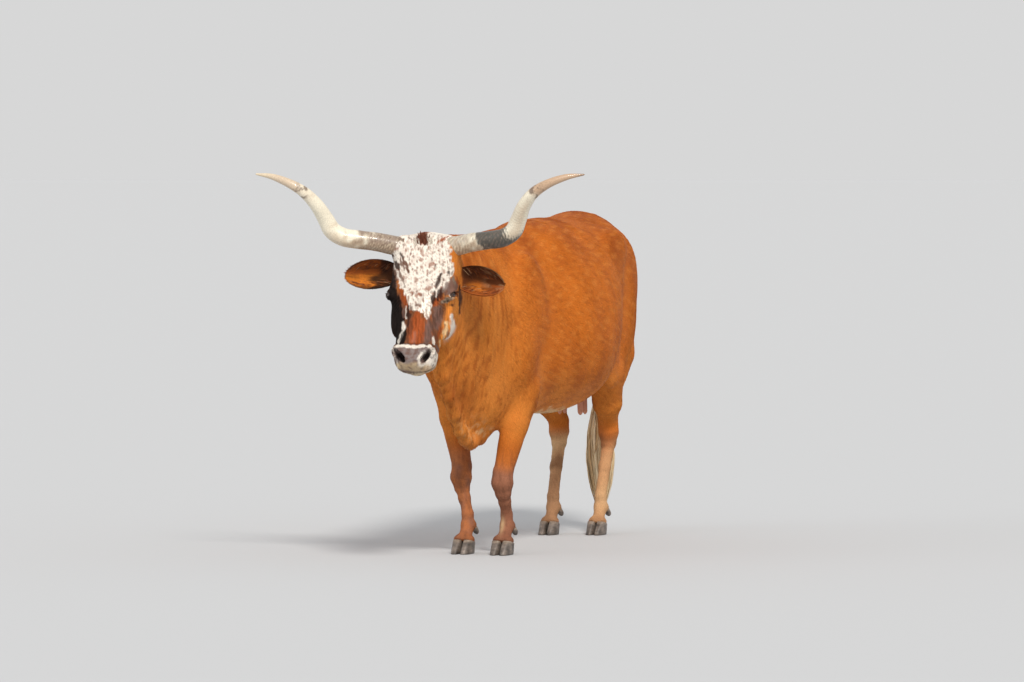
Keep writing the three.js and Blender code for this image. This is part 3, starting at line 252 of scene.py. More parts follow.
def hindlegForms(side, name):
    stifle, hock, fetlock = [joints[name][k] for k in ("top", "bend", "fetlock")]
    point, low = shift(hock, (0, 40, 34)), shift(fetlock, (0, -4, 44))
    return [
        chain([[*stifle, 84], [*part(stifle, hock, 0.5), 62], shift(hock, (0, -14, 46), 43)], 44),
        chain([[stifle[0] - side * 12, stifle[1] + 196, stifle[2] + 70, 70],
               shift(point, (0, -30, 150), 44), shift(point, (0, -8, 78), 23), [*point, 18]], 40),
        egg((stifle[0] - side * 16, 612, 690), (58, 108, 118), 44),
        chain([shift(hock, (0, -16, 40), 40), shift(hock, (0, -10, 0), 43),
               shift(hock, (0, -10, -44), 35)], 22),
        chain([[*point, 19], shift(hock, (0, 20, -50), 22)], 22),
        chain([shift(hock, (0, -6, -44), 31), [*part(hock, low, 0.55), 24.5], [*low, 25]], 14),
        chain([shift(hock, (0, 18, -60), 21), shift(low, (0, 19, 0), 16)], 10),
        chain([[*low, 24.5], shift(fetlock, (0, -3, 0), 30)], 12),
        *pasternForms(fetlock, feet[name], 24, 17),
    ]


shoulderShift = -14  # the weight rests more on the right foreleg


def trunkForms(side):
    return [
        egg((side * 156 + shoulderShift, -530, 985), (76, 130, 235), 70, -0.3),   # shoulder
        egg((side * 172 + shoulderShift, -606, 800), (68, 96, 135), 60, 0.3),     # point of the shoulder
        egg((side * 146 + shoulderShift, -520, 690), (72, 96, 95), 60),           # elbow
        egg((side * 209, 420, 1230), (36, 100, 54), 105),         # hip bone
        egg((side * 150, 640, 1030), (80, 165, 210), 90, -0.15),  # rump
        egg((side * 160, 560, 850), (72, 150, 165), 80, 0.25),    # thigh
        egg((side * 142, 690, 860), (62, 95, 190), 60, 0.12),
        egg((side * 116, 806, 1212), (32, 46, 42), 50),           # pin bone
        egg((side * 205, 392, 730), (28, 70, 110), 60, 0.3),      # fold of the flank
    ]


def headForms(side):
    return [
        headEgg(side * 98, 226, 56, (32, 46, 42), 24),   # brow
        headEgg(side * 96, 312, 98, (26, 80, 30), 30),   # cheek bone
        headEgg(side * 78, 272, 180, (38, 90, 66), 36),  # jaw
        headEgg(side * 46, 486, 26, (34, 40, 34), 22),   # nostril
        headEgg(side * 100, 36, 50, (40, 48, 50), 24),   # root of the horn
        headEgg(side * 106, 98, 116, (24, 30, 30), 20),  # root of the ear
        headEgg(side * 84, 3, 62, (36, 25, 46), 20),     # corner of the poll
    ]


tailCourse = [(800, 1300, 34), (858, 1288, 32), (890, 1230, 27), (900, 1130, 22), (898, 980, 18),
              (892, 800, 15), (888, 640, 13), (884, 560, 12), (884, 520, 9)]
trunkParts = [
    chain([[0, -1110, 800, 24], [0, -1070, 738, 24], [0, -1000, 655, 25], [0, -930, 580, 26],
           [0, -860, 515, 27], [0, -800, 474, 28], [0, -745, 458, 30], [0, -660, 478, 34],
           [0, -560, 525, 34]], 60),
    egg((0, -690, 655), (108, 126, 150), 70, 0.2),
    chain([[0, 760, 1322, 34], [0, 830, 1306, 34]], 50),
    chain([[0, 790, 1010, 56], [0, 742, 860, 66], [0, 650, 770, 70]], 60),
    *trunkForms(1), *trunkForms(-1),
]
headParts = [headEgg(0, 520, 112, (38, 34, 24), 20), *headForms(1), *headForms(-1)]
legParts = {
    "foreLeft": forelegForms(1, "foreLeft"), "foreRight": forelegForms(-1, "foreRight"),
    "hindLeft": hindlegForms(1, "hindLeft"), "hindRight": hindlegForms(-1, "hindRight"),
}
tailPart = chain([[0, y, z, r - 1] for y, z, r in tailCourse], 14)
udderPart = egg((0, 505, 640), (84, 90, 88), 22)


def formDistance(form, points):
    kind, values, _ = form
    return eggDistance(*values, points) if kind == "egg" else chainDistance(values, points)


def joinForms(start, forms, points):
    for form in forms:
        start = joinSmooth(start, formDistance(form, points), form[2])
    return start


def joinNear(distance, near, forms, points):
    if near.any():
        distance[near] = joinForms(distance[near], forms, points[near])


def fleshDistance(points):
    x, y, z = points.T
    distance = joinForms(sectionDistance(trunkTable, y, x, z), trunkParts, points)
    near = y < -950
    if near.any():
        at = points[near]
        out, along, behind = headPlace(at)
        ownHead = joinForms(sectionDistance(headTable, along, out, behind), headParts, at)
        distance[near] = joinSmooth(distance[near], ownHead, 60)
    for name, forms in legParts.items():
        near = (z < 900) & ((y > 100) == name.startswith("hind")) & ((x > 0) == name.endswith("Left"))
        joinNear(distance, near, forms, points)
    joinNear(distance, (y > 380) & (z < 760) & (np.abs(x) < 150), [udderPart], points)
    joinNear(distance, y > 740, [tailPart], points)
    # The flesh ends above the claws.
    for foot in feet.values():
        near = (z < 110) & (np.hypot(x - foot["x"], y - foot["y"]) < 130)
        if near.any():
            hoofTop = coronet["height"] - 4 - (y[near] - foot["y"] - coronet["behind"]) * coronet["slope"]
            distance[near] = np.maximum(distance[near], hoofTop - z[near])
    return distance


lids = {"long": 19.5, "short": 7.0, "proud": 9.0, "thick": 5.0, "turn": 1.05, "forward": 0.5, "depth": 11.0}
nostrils = {"out": 49, "along": 521, "steep": 1.5, "radii": (13.0, 27.0, 34.0)}


def eyePlace(side):
    outwards = unit(headLeft * side - faceBack * lids["forward"])
    slant = faceDown * math.cos(lids["turn"]) - faceBack * math.sin(lids["turn"])
    long = unit(slant - outwards * (slant @ outwards))
    return onHead(side * eye["out"], eye["along"], eye["behind"]), outwards, long, np.cross(outwards, long)


def faceDetail(distance, points):
    # Lids as a raised rim round a hollow for the eyeball, then the nostrils.
    for side in (1, -1):
        centre, outwards, long, short = eyePlace(side)
        rim = centre + outwards * lids["proud"]
        turns = np.linspace(0, 2 * math.pi, 17)
        ring = [[*(rim + long * math.cos(t) * (lids["long"] + 2) + short * math.sin(t) * (lids["short"] + 2)
                   - outwards * 6 * math.cos(t) ** 2), lids["thick"]] for t in turns]
        near = np.linalg.norm(points - centre, axis=1) < 75
        if near.any():
            at = points[near]
            value = joinSmooth(distance[near], chainDistance(ring, at), 9)
            radii = np.array([lids["long"], lids["short"], lids["depth"] + 5])
            hollow = eggDistance(rim + outwards * 5, radii, np.array([long, short, outwards]), at)
            distance[near] = carveSmooth(value, hollow, 3)
        across = unit(headLeft * side - faceDown * nostrils["steep"])
        deep = unit(faceBack - headLeft * side * 0.35)
        third = np.cross(across, deep)
        place = onHead(side * nostrils["out"], nostrils["along"], 6)
        near = np.linalg.norm(points - place, axis=1) < 80
        if near.any():
            at = points[near]
            wing = headEgg(side * 62, 498, 8, (25, 30, 22), 12)
            value = joinForms(distance[near], [wing], at)
            axes = np.array([third, across, deep])
            hollow = eggDistance(place, np.array(nostrils["radii"]), axes, at)
            slit = eggDistance(place + across * 20 + headLeft * side * 3, np.array([6.5, 17, 22]), axes, at)
            value = carveSmooth(value, joinSmooth(hollow, slit, 9), 5)
            lip = [[*(place + across * t - headLeft * side * 13), 3.5] for t in (-14, 0, 16)]
            distance[near] = joinSmooth(value, chainDistance(lip, at) + 1.5, 6)
    return distance


coatDepth = 4.0


def skinDistance(points):
    distance = fleshDistance(points)
    near = points[:, 1] < -1180
    if near.any():
        distance[near] = faceDetail(distance[near], points[near])
    return distance + coatDepth * coatAmount(points)


def coatAmount(points):
    _, along, behind = headPlace(points)
    onFace = smoothStep(-80, 20, along) * (behind < 330) * (points[:, 1] < -1100)
    low = 1 - 0.6 * smoothStep(520, 120, points[:, 2])
    return np.where(onFace > 0, 1 - 0.7 * onFace, low)


def wavesOf(seed, count=7):
    # Quiet waves in any direction, the same each run.
    draw = np.random.default_rng(seed)
    ways, starts = unit(draw.normal(size=(count, 3))), draw.uniform(0, 2 * math.pi, count)
    return ways, starts, draw.uniform(0.7, 1.4, count)


def ripple(points, length, seed):
    ways, starts, speeds = wavesOf(seed)
    total = np.zeros(len(points))
    for way, start, speed in zip(ways, starts, speeds):
        total += np.sin((points @ way) * (2 * math.pi / length) * speed + start)
    return total / math.sqrt(len(ways) / 2)


folds = {"rib": 0.5, "ribStep": 62, "neck": 2.6, "neckStep": 84, "dewlap": 4.0, "dewlapStep": 58,
         "brow": 2.0, "browStep": 15.0, "underEye": 1.5, "underEyeStep": 12,
         "muscle": 2.4, "muscleStep": 260, "mouth": 6.5, "mouthWidth": 3.2, "lip": 2.2}
# The line of the mouth: along and behind, at its corner and at its front.
mouth = {"corner": (448, 104), "front": (562, 66), "start": 440, "full": 462}


def mouthLevel(along, behind):
    (cornerAlong, cornerBehind), (frontAlong, frontBehind) = mouth["corner"], mouth["front"]
    slope = (cornerBehind - frontBehind) / (cornerAlong - frontAlong)
    return behind - (frontBehind + (along - frontAlong) * slope)


def skinFolds(points):
    x, y, z = points.T
    side = np.abs(x)
    muscles = ripple(points, folds["muscleStep"], 3)
    move = folds["muscle"] * muscles * smoothStep(300, 620, z) * smoothStep(-1150, -900, y)
    onRibs = smoothStep(-330, -180, y) * smoothStep(380, 220, y)
    onRibs = onRibs * smoothStep(560, 700, z) * smoothStep(1240, 1060, z)
    ribs = np.sin((y + 0.35 * z) * 2 * math.pi / folds["ribStep"] + 0.5 * ripple(points, 300, 5))
    move += onRibs * folds["rib"] * ribs
    onNeck = smoothStep(-1120, -1010, y) * smoothStep(-690, -820, y) * smoothStep(40, 80, side)
    bend = y + 0.28 * z + 16 * ripple(points, 240, 8)
    fold = np.abs(np.sin(bend * math.pi / folds["neckStep"])) ** 0.7 - 0.6
    move += onNeck * folds["neck"] * fold * smoothStep(560, 700, z) * smoothStep(1270, 1150, z)
    onDewlap = smoothStep(-1180, -1080, y) * smoothStep(-560, -720, y) * smoothStep(110, 40, side)
    under = smoothStep(900, 760, z + 0.35 * (y + 1000))
    wave = np.sin((y + 0.22 * z) * 2 * math.pi / folds["dewlapStep"] + 0.5 * ripple(points, 160, 9))
    move += onDewlap * under * folds["dewlap"] * (0.5 + 0.5 * wave) * smoothStep(4, 30, side)
    onFace = y < -1180
    out, along, behind = headPlace(points)
    front = smoothStep(80, 20, behind)
    aside = np.abs(out)
    spread = aside - 0.36 * (262 - along) + 3.5 * ripple(points, 75, 12)
    wrinkle = bell(along, 190, 78) * smoothStep(24, 62, aside) * smoothStep(124, 100, aside) * front
    patches = smoothStep(-0.7, 0.9, ripple(points, 58, 13))
    ridge = 0.6 - np.abs(np.sin(spread * math.pi / folds["browStep"])) ** 0.6
    move -= onFace * folds["brow"] * wrinkle * patches * ridge
    under = bell(along, 286, 26) * bell(aside, 92, 26) * front
    pleat = np.sin((along - 0.5 * aside) * 2 * math.pi / folds["underEyeStep"])
    move += onFace * folds["underEye"] * under * pleat
    level = mouthLevel(along, behind)
    lips = onFace * smoothStep(mouth["start"], mouth["full"], along)
    fromCorner = smoothStep(10, 0, 10 - (along - mouth["start"]) * 0.5)
    move -= lips * folds["mouth"] * bell(level, 0, folds["mouthWidth"]) * fromCorner
    move += lips * folds["lip"] * bell(level, 11, 7)
    return move


# The skin: points on a grid where the surface passes, joined to faces, then drawn on to the shape.
skin = {"cell": 14.0, "low": (-352, -1560, -8), "high": (352, 925, 1400), "draws": 3,
        "block": 4, "margin": 9, "batch": 200000}


def gridPlaces(counts):
    return np.stack(np.meshgrid(*[np.arange(n) for n in counts], indexing="ij"), -1).reshape(-1, 3)


def netOfSkin():
    # A rough look at blocks of cells first, then only the blocks near the surface in full.
    cell, block, batch = skin["cell"], skin["block"], skin["batch"]
    low = np.array(skin["low"], float)
    counts = np.ceil((np.array(skin["high"]) - low) / cell).astype(int)
    blocks = np.ceil(counts / block).astype(int)
    at = gridPlaces(blocks)
    rough = skinDistance(low + (at * block + block / 2) * cell)
    field = rough.reshape(blocks)
    for axis in range(3):
        field = np.repeat(field, block, axis)
    near = np.abs(rough) < cell * skin["margin"]
    spots = (at[near][:, None, :] * block + gridPlaces([block] * 3)[None]).reshape(-1, 3)
    for start in range(0, len(spots), batch):
        some = spots[start:start + batch]
        field[tuple(some.T)] = skinDistance(low + some * cell)
    inside = field < 0
    corners = [(a, b, c) for a in (0, 1) for b in (0, 1) for c in (0, 1)]
    size = np.array(field.shape) - 1

    def corner(grid, c):
        return grid[c[0]:c[0] + size[0], c[1]:c[1] + size[1], c[2]:c[2] + size[2]]

    total = sum(corner(inside, c).astype(np.int8) for c in corners)
    crossed = (total > 0) & (total < 8)
    cells = np.argwhere(crossed)
    number = np.full(size, -1)
    number[crossed] = np.arange(len(cells))
    sums, hits = np.zeros((len(cells), 3)), np.zeros(len(cells))
    for a in corners:
        for axis in range(3):
            if a[axis]:
                continue
            b = list(a)
            b[axis] = 1
            va, vb = corner(field, a)[crossed], corner(field, b)[crossed]
            hit = (va < 0) != (vb < 0)
            share = np.where(hit, va / np.where(va == vb, 1, va - vb), 0)
            place = np.tile(np.array(a, float), (len(cells), 1))
            place[:, axis] = share
            sums[hit] += place[hit]
            hits[hit] += 1
    points = low + (cells + sums / hits[:, None]) * cell
    quads = []
    for axis in range(3):
        u, v = (axis + 1) % 3, (axis + 2) % 3
        ahead = np.roll(inside, -1, axis)
        change = inside != ahead
        change[tuple(slice(-1, None) if i == axis else slice(None) for i in range(3))] = False
        spots = np.argwhere(change)
        spots = spots[(spots[:, u] > 0) & (spots[:, v] > 0)]
        ring = []
        for du, dv in ((1, 1), (0, 1), (0, 0), (1, 0)):
            c = spots.copy()
            c[:, u] -= du
            c[:, v] -= dv
            ring.append(number[tuple(c.T)])
        ring = np.stack(ring, 1)
        first = inside[tuple(spots.T)]
        ring[~first] = ring[~first][:, ::-1]
        quads.append(ring)
    return points, np.concatenate(quads)


def slopeOf(distance, points, step=1.5):
    value = distance(points)
    slope = np.stack([distance(points + np.eye(3)[i] * step) - distance(points - np.eye(3)[i] * step)
                      for i in range(3)], 1) / (2 * step)
    return value, slope


def drawOn(distance, points, most=12.0):
    value, slope = slopeOf(distance, points)
    steep = np.maximum((slope**2).sum(1), 0.15)
    move = np.clip(value / steep, -most, most)
    return points - slope * move[:, None]


def readVectors(items, key):
    value = np.empty(len(items) * 3)
    items.foreach_get(key, value)
    return value.reshape(-1, 3)


def meshPoints(mesh):
    return readVectors(mesh.vertices, "co")


def movePoints(mesh, points):
    mesh.vertices.foreach_set("co", points.ravel())
    mesh.update()


def relax(mesh, points, rounds, share, weight=None):
    edges = np.empty(len(mesh.edges) * 2, int)
    mesh.edges.foreach_get("vertices", edges)
    a, b = edges.reshape(-1, 2).T
    count = np.bincount(a, minlength=len(points)) + np.bincount(b, minlength=len(points))
    for _ in range(rounds):
        total = np.zeros_like(points)
        for i in range(3):
            total[:, i] = (np.bincount(a, points[b, i], len(points))
                           + np.bincount(b, points[a, i], len(points)))
        step = (total / np.maximum(count, 1)[:, None] - points) * share
        points = points + (step if weight is None else step * weight[:, None])
    return points


def meshFrom(name, points, faces):
    mesh = bpy.data.meshes.new(name)
    mesh.from_pydata(points.tolist(), [], faces.tolist() if hasattr(faces, "tolist") else faces)
    return mesh


def refine(mesh, chosen):
    bm = bmesh.new()
    bm.from_mesh(mesh)
    bm.faces.ensure_lookup_table()
    edges = {e for f, wanted in zip(bm.faces, chosen) if wanted for e in f.edges}
    bmesh.ops.subdivide_edges(bm, edges=list(edges), cuts=1, use_grid_fill=True)
    bm.to_mesh(mesh)
    bm.free()


def finerAround(at, level):
    x, y, z = at.T
    _, along, behind = headPlace(at)
    isHead = (y < -1175) & (along > -60) & (along < 600)
    if level == 1:
        lowLegs = (z < 470) & (np.abs(x) < 230)
        tail = (np.abs(x) < 60) & (y > 780) & (z < 1290)
        return (isHead & (behind < 215)) | lowLegs | tail
    front = isHead & (behind < 75) & (along < 440)
    muzzle = isHead & (along > 400) & (behind < 150)
    eyes = np.minimum(*[np.linalg.norm(at - eyePlace(s)[0], axis=1) for s in (1, -1)]) < 48
    return front | muzzle | eyes


def makeSkin():
    points, quads = netOfSkin()
    for _ in range(skin["draws"]):
        points = drawOn(skinDistance, points)
    mesh = meshFrom("skin", points, quads)
    for _ in range(2):
        points = drawOn(skinDistance, relax(mesh, points, 2, 0.5))
    for level in (1, 2):
        movePoints(mesh, points)
        refine(mesh, finerAround(readVectors(mesh.polygons, "center"), level))
        points = meshPoints(mesh)
        points = drawOn(skinDistance, points)
        points = drawOn(skinDistance, relax(mesh, points, 1, 0.4), 3.0)
    movePoints(mesh, points)
    return mesh


print("skin: working out the surface")
skinMesh = makeSkin()
print("skin:", len(skinMesh.vertices), "points", len(skinMesh.polygons), "faces")


# Ears: hollow leaves with a thick root, joined to the skin.
ears = {
    "width": 118, "shell": 8, "sag": 10.0, "steps": 34, "around": 15,
    "left": {"length": 206, "along": 124, "drop": -0.12, "sweep": -0.24},
    "right": {"length": 230, "along": 110, "drop": 0.0, "sweep": 0.03},
}


def earFrame(side):
    pose = ears[sideName[side]]
    root = onHead(side * 94, pose["along"], 118)
    course = unit(headLeft * side + np.array([0, 0, pose["drop"]]) + headForward * pose["sweep"])
    facing = unit(headForward + np.array([0, 0, 0.1]))
    upward = unit(np.cross(course, facing)) * side
    return root, course, facing, upward, pose["length"] + 4


def loftFaces(rings, around, closed=True):
    faces = []
    for r in range(rings - 1):
        for i in range(around):
            j = (i + 1) % around
            faces.append([r * around + i, r * around + j, (r + 1) * around + j, (r + 1) * around + i])
    if closed:
        faces.append(list(range(around))[::-1])
        faces.append([(rings - 1) * around + i for i in range(around)])
    return faces


def tippedFaces(rings, around):
    # A tube closed by one more point before its first ring and one past its last.
    faces = loftFaces(rings, around, closed=False)
    tip, last = rings * around, (rings - 1) * around
    for k in range(around):
        j = (k + 1) % around
        faces += [[tip, j, k], [tip + 1, last + k, last + j]]
    return faces


def faceOutwards(mesh, weld=0):
    bm = bmesh.new()
    bm.from_mesh(mesh)
    if weld:
        bmesh.ops.remove_doubles(bm, verts=bm.verts, dist=weld)
    bmesh.ops.recalc_face_normals(bm, faces=bm.faces)
    bm.to_mesh(mesh)
    bm.free()


def outwardMesh(name, points, faces):
    mesh = meshFrom(name, np.asarray(points), faces)
    faceOutwards(mesh, weld=1e-5)
    return mesh


def earHalf(share):
    return ears["width"] / 2 * np.sin(math.pi * np.clip(share * 0.88 + 0.11, 0, 1) ** 1.3) ** 0.5


def earMesh(side):
    root, course, facing, upward, reach = earFrame(side)
    points = []
    for i in range(ears["steps"] + 1):
        share = i / ears["steps"]
        wide = math.sin(math.pi * min(max(share * 0.88 + 0.11, 0), 1) ** 1.3) ** 0.5
        half = max(ears["width"] / 2 * wide, 2.5)
        depth = half * (0.9 + (0.42 - 0.9) * share)
        opening = float(smoothStep(0.08, 0.36, share))
        centre = root + course * share * reach - np.array([0, 0, ears["sag"]]) * share**2
        wall = ears["shell"] * (1.15 - 0.45 * share)
        outer, inner = [], []
        for k in range(ears["around"]):
            turn = (k / (ears["around"] - 1) - 0.5) * math.pi * 1.06
            thin = 0.55 + 0.45 * math.cos(turn)
            ridge = 1.6 * opening * math.sin(5 * turn + 0.6) * math.cos(turn)
            height, back = half * math.sin(turn), depth * math.cos(turn)
            outer.append(centre + upward * height - facing * back)
            front = (half * 0.5 * math.cos(turn)) * (1 - opening) + (-back + wall * thin + ridge) * opening
            inner.append(centre + upward * height * (0.98 - 0.09 * opening) + facing * front)
        points += outer + inner[::-1]
    return outwardMesh("ear", points, loftFaces(ears["steps"] + 1, ears["around"] * 2))


teats = {"out": 42, "front": 486, "rear": 548, "top": 586, "tip": 512, "radius": 9.5}


def teatMesh(x, y):
    points, around, rings = [], 14, 14
    for i in range(rings):
        share = i / (rings - 1)
        z = teats["top"] + 18 - (teats["top"] + 18 - teats["tip"]) * share
        wide = teats["radius"] * (1.5 - 0.6 * min(share * 1.6, 1))
        radius = wide * math.sqrt(max(1 - max(share - 0.86, 0) ** 2 / 0.0215, 0.02))
        lean = (x * 0.1 * share, -4 * share)
        points += [[x + lean[0] + radius * math.cos(2 * math.pi * k / around),
                    y + lean[1] + radius * math.sin(2 * math.pi * k / around), z] for k in range(around)]
    return outwardMesh("teat", points, loftFaces(rings, around))


def addObject(name, mesh):
    obj = bpy.data.objects.new(name, mesh)
    bpy.context.scene.collection.objects.link(obj)
    return obj


def joinToSkin(base, extras):
    obj = addObject("cow_skin", base)
    for i, mesh in enumerate(extras):
        tool = addObject(f"extra{i}", mesh)
        mod = obj.modifiers.new("join", "BOOLEAN")
        mod.operation, mod.object, mod.solver = "UNION", tool, "MANIFOLD"
        joined = bpy.data.meshes.new_from_object(obj.evaluated_get(bpy.context.evaluated_depsgraph_get()))
        obj.modifiers.clear()
        old, obj.data = obj.data, joined
        bpy.data.meshes.remove(old)
        bpy.data.objects.remove(tool)
        bpy.data.meshes.remove(mesh)
    return obj


def smoothRoots(obj):
    # Rounds the creases where ears and teats leave the skin.
    points = meshPoints(obj.data)
    weight = np.zeros(len(points))
    for side in (1, -1):
        root, course, *_ = earFrame(side)
        along = (points - root) @ course
        off = np.linalg.norm(points - root - along[:, None] * course, axis=1)
        weight = np.maximum(weight, bell(along, 22, 22) * smoothStep(95, 70, off))
    for x in (teats["out"], -teats["out"]):
        for y in (teats["front"], teats["rear"]):
            close = np.hypot(points[:, 0] - x, points[:, 1] - y) < 30
            weight = np.maximum(weight, bell(points[:, 2], teats["top"] - 14, 16) * close)
    movePoints(obj.data, relax(obj.data, points, 8, 0.5, weight))


faceOutwards(skinMesh)
skinObject = joinToSkin(skinMesh, [earMesh(1), earMesh(-1)] + [
    teatMesh(x, y) for x in (teats["out"], -teats["out"]) for y in (teats["front"], teats["rear"])])
smoothRoots(skinObject)
print("skin: joined", len(skinObject.data.polygons))

bareSkin = meshPoints(skinObject.data)
foldedSkin = bareSkin + readVectors(skinObject.data.vertices, "normal") * skinFolds(bareSkin)[:, None]
movePoints(skinObject.data, foldedSkin)
skinNormals = readVectors(skinObject.data.vertices, "normal")

eyeLow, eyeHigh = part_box("eye_left")
shapeOffset = np.array((eyeLow + eyeHigh) / 2) - eyePlace(1)[0] * mm


def settle(mesh):
    # Carries a mesh from the maker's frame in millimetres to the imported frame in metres.
    movePoints(mesh, meshPoints(mesh) * mm + shapeOffset)


def palette(tones):
    return {name: np.array(tone) for name, tone in tones.items()}


# Colours of the coat, in linear light.
coat = palette({
    "red": (0.50, 0.130, 0.015), "deep": (0.25, 0.050, 0.008), "light": (0.66, 0.235, 0.045),
    "white": (0.84, 0.77, 0.68), "fleck": (0.27, 0.095, 0.050), "black": (0.011, 0.008, 0.008),
    "brown": (0.125, 0.050, 0.030), "mauve": (0.155, 0.098, 0.085), "pad": (0.225, 0.180, 0.168),
    "cream": (0.70, 0.51, 0.28), "leg": (0.38, 0.145, 0.065), "tan": (0.56, 0.34, 0.18),
    "pink": (0.56, 0.27, 0.19), "bridge": (0.30, 0.066, 0.018), "dark": (0.034, 0.016, 0.013),
    "knee": (0.27, 0.115, 0.070), "ash": (0.27, 0.225, 0.17), "litOrange": (0.66, 0.20, 0.022),
    "deepBrown": (0.075, 0.024, 0.010),
})


def paint(colour, name, amount, tones=coat):
    # Blends one of the tones into the colours, in place.
    amount = np.clip(amount, 0, 1)[:, None]
    colour[:] = colour * (1 - amount) + tones[name] * amount


def legColours(colour, points, soft, fine):
    # Mauve brown before, tan behind with a dark patch under the hock.
    x, y, z = points.T
    legs = smoothStep(500, 380, z + 16 * soft)
    fore, hind = legs * (y < 100), legs * (y > 100)
    paint(colour, "leg", 0.8 * fore * np.where(x > 0, 0.35, 1))
    paint(colour, "knee", 0.92 * smoothStep(410, 330, z + 12 * soft) * fore
          * np.where(x > 0, 1, 0.25 + 0.3 * fine))
    paint(colour, "brown", 0.35 * fore * smoothStep(0.2, 1.3, ripple(points * [1, 1, 0.3], 24, 27)))
    # A pale spot on the front of the left fore fetlock: a painted highlight.
    paint(colour, "cream", 0.55 * fore * (x > 0) * bell(z, 118, 34) * bell(x, 78, 10) * (y < -560))
    paint(colour, "tan", hind * np.where(x > 0, 0.75, 0.88)
          * smoothStep(500, np.where(x > 0, 330, 430), z + 10 * soft))
    paint(colour, "cream", hind * np.where(x > 0, 0.28 * bell(z, 150, 70), 0.45 * bell(z, 390, 60)))
    paint(colour, "brown", 0.5 * hind * bell(z + 8 * fine, np.where(x > 0, 395, 300), 24))
    paint(colour, "knee", 0.3 * hind * (x < 0) * smoothStep(290, 240, z + 8 * fine))
    paint(colour, "brown", 0.35 * smoothStep(110, 60, z + 8 * fine))


def markings(points):
    x, y, z = points.T
    side = np.abs(x)
    colour = np.tile(coat["red"], (len(points), 1))
    soft = ripple(points, 210, 21)
    fine = ripple(points, 55, 22)
    paint(colour, "deep", 0.42 * smoothStep(1120, 1330, z + 18 * soft) + 0.12 * soft)
    paint(colour, "deep", 0.35 * smoothStep(560, 800, y) * smoothStep(700, 950, z))
    paint(colour, "light", 0.55 * smoothStep(800, 560, z + 30 * soft) * smoothStep(420, 520, z))
    # Lighter orange down the front of the neck: painted light.
    paint(colour, "light", 0.5 * smoothStep(-560, -800, y) * smoothStep(1250, 1000, z + 40 * soft))
    belly = smoothStep(574, 556, z + 7 * fine) * smoothStep(-300, -220, y) * smoothStep(480, 380, y)
    paint(colour, "cream", 0.7 * belly)
    onNeck = smoothStep(-560, -760, y)
    drawn = np.stack([x, y * (0.28 + 0.72 * onNeck), z * (1 - 0.84 * onNeck) + 0.25 * y * (1 - onNeck)], 1)
    streak = ripple(drawn, 26, 24)
    aboveLegs = smoothStep(420, 560, z)
    paint(colour, "deep", (0.3 + 0.24 * onNeck) * smoothStep(0.1, 1.5, streak + 0.4 * soft) * aboveLegs)
    paint(colour, "light", (0.28 + 0.2 * onNeck) * smoothStep(0.2, 1.5, ripple(drawn, 30, 26)) * aboveLegs)
    # The brisket is darker between the legs, which is painted shade, and has pale streaks near its tip.
    paint(colour, "deep", 0.5 * bell(z, 650, 80) * bell(x, 30, 45) * smoothStep(-620, -700, y))
    paint(colour, "cream", 0.6 * smoothStep(0.1, 1.0, ripple(points * [1, 1, 0.2], 20, 28))
          * bell(z, 510, 42) * bell(x, 46, 30) * smoothStep(-600, -660, y))
    legColours(colour, points, soft, fine)
    centre, radii, axes = udderPart[1]
    udder = smoothStep(14, -2, eggDistance(centre, radii + 4, axes, points))
    udder = np.maximum(udder, (z < 620) * (np.abs(y - 517) < 60) * (side < 62))
    paint(colour, "pink", 0.85 * udder * (y > 390) * (z < 700))
    near = (y < -1120) | ((y < -1020) & (z > 1240) & (side > 100)) | ((y < -1000) & (z > 1040) & (side > 150))
    if near.any():
        colour[near] = faceColours(points[near], colour[near])
    # The crest between the horns is white with a dark red middle.
    crest = smoothStep(1246, 1262, z + 5 * fine) * smoothStep(-1060, -1100, y)
    crest = crest * smoothStep(-1236, -1216, y) * smoothStep(110, 90, side)
    middle = smoothStep(30, 18, np.abs(x + 17))
    paint(colour, "white", 0.9 * crest * (1 - middle))
    paint(colour, "bridge", 0.9 * crest * middle)
    return colour


# The blaze: its two edges at levels down the face, as seen from the front and a little left.
blaze = {
    "rightDown": [-11, 1, 17, 36, 75, 134, 162, 193, 225, 272, 301, 305, 314, 330, 344],
    "right": [-110, -121, -127, -132, -132, -130, -121, -106, -89, -68, -62, -40, -18, -1, 7],
    "leftDown": [-11, 5, 17, 36, 75, 95, 134, 158, 177, 201, 217, 232, 248, 264, 291, 311, 330, 344],
    "left": [118, 112, 108, 104, 107, 109, 116, 120, 98, 83, 67, 51, 38, 31, 28, 24, 16, 9],
}
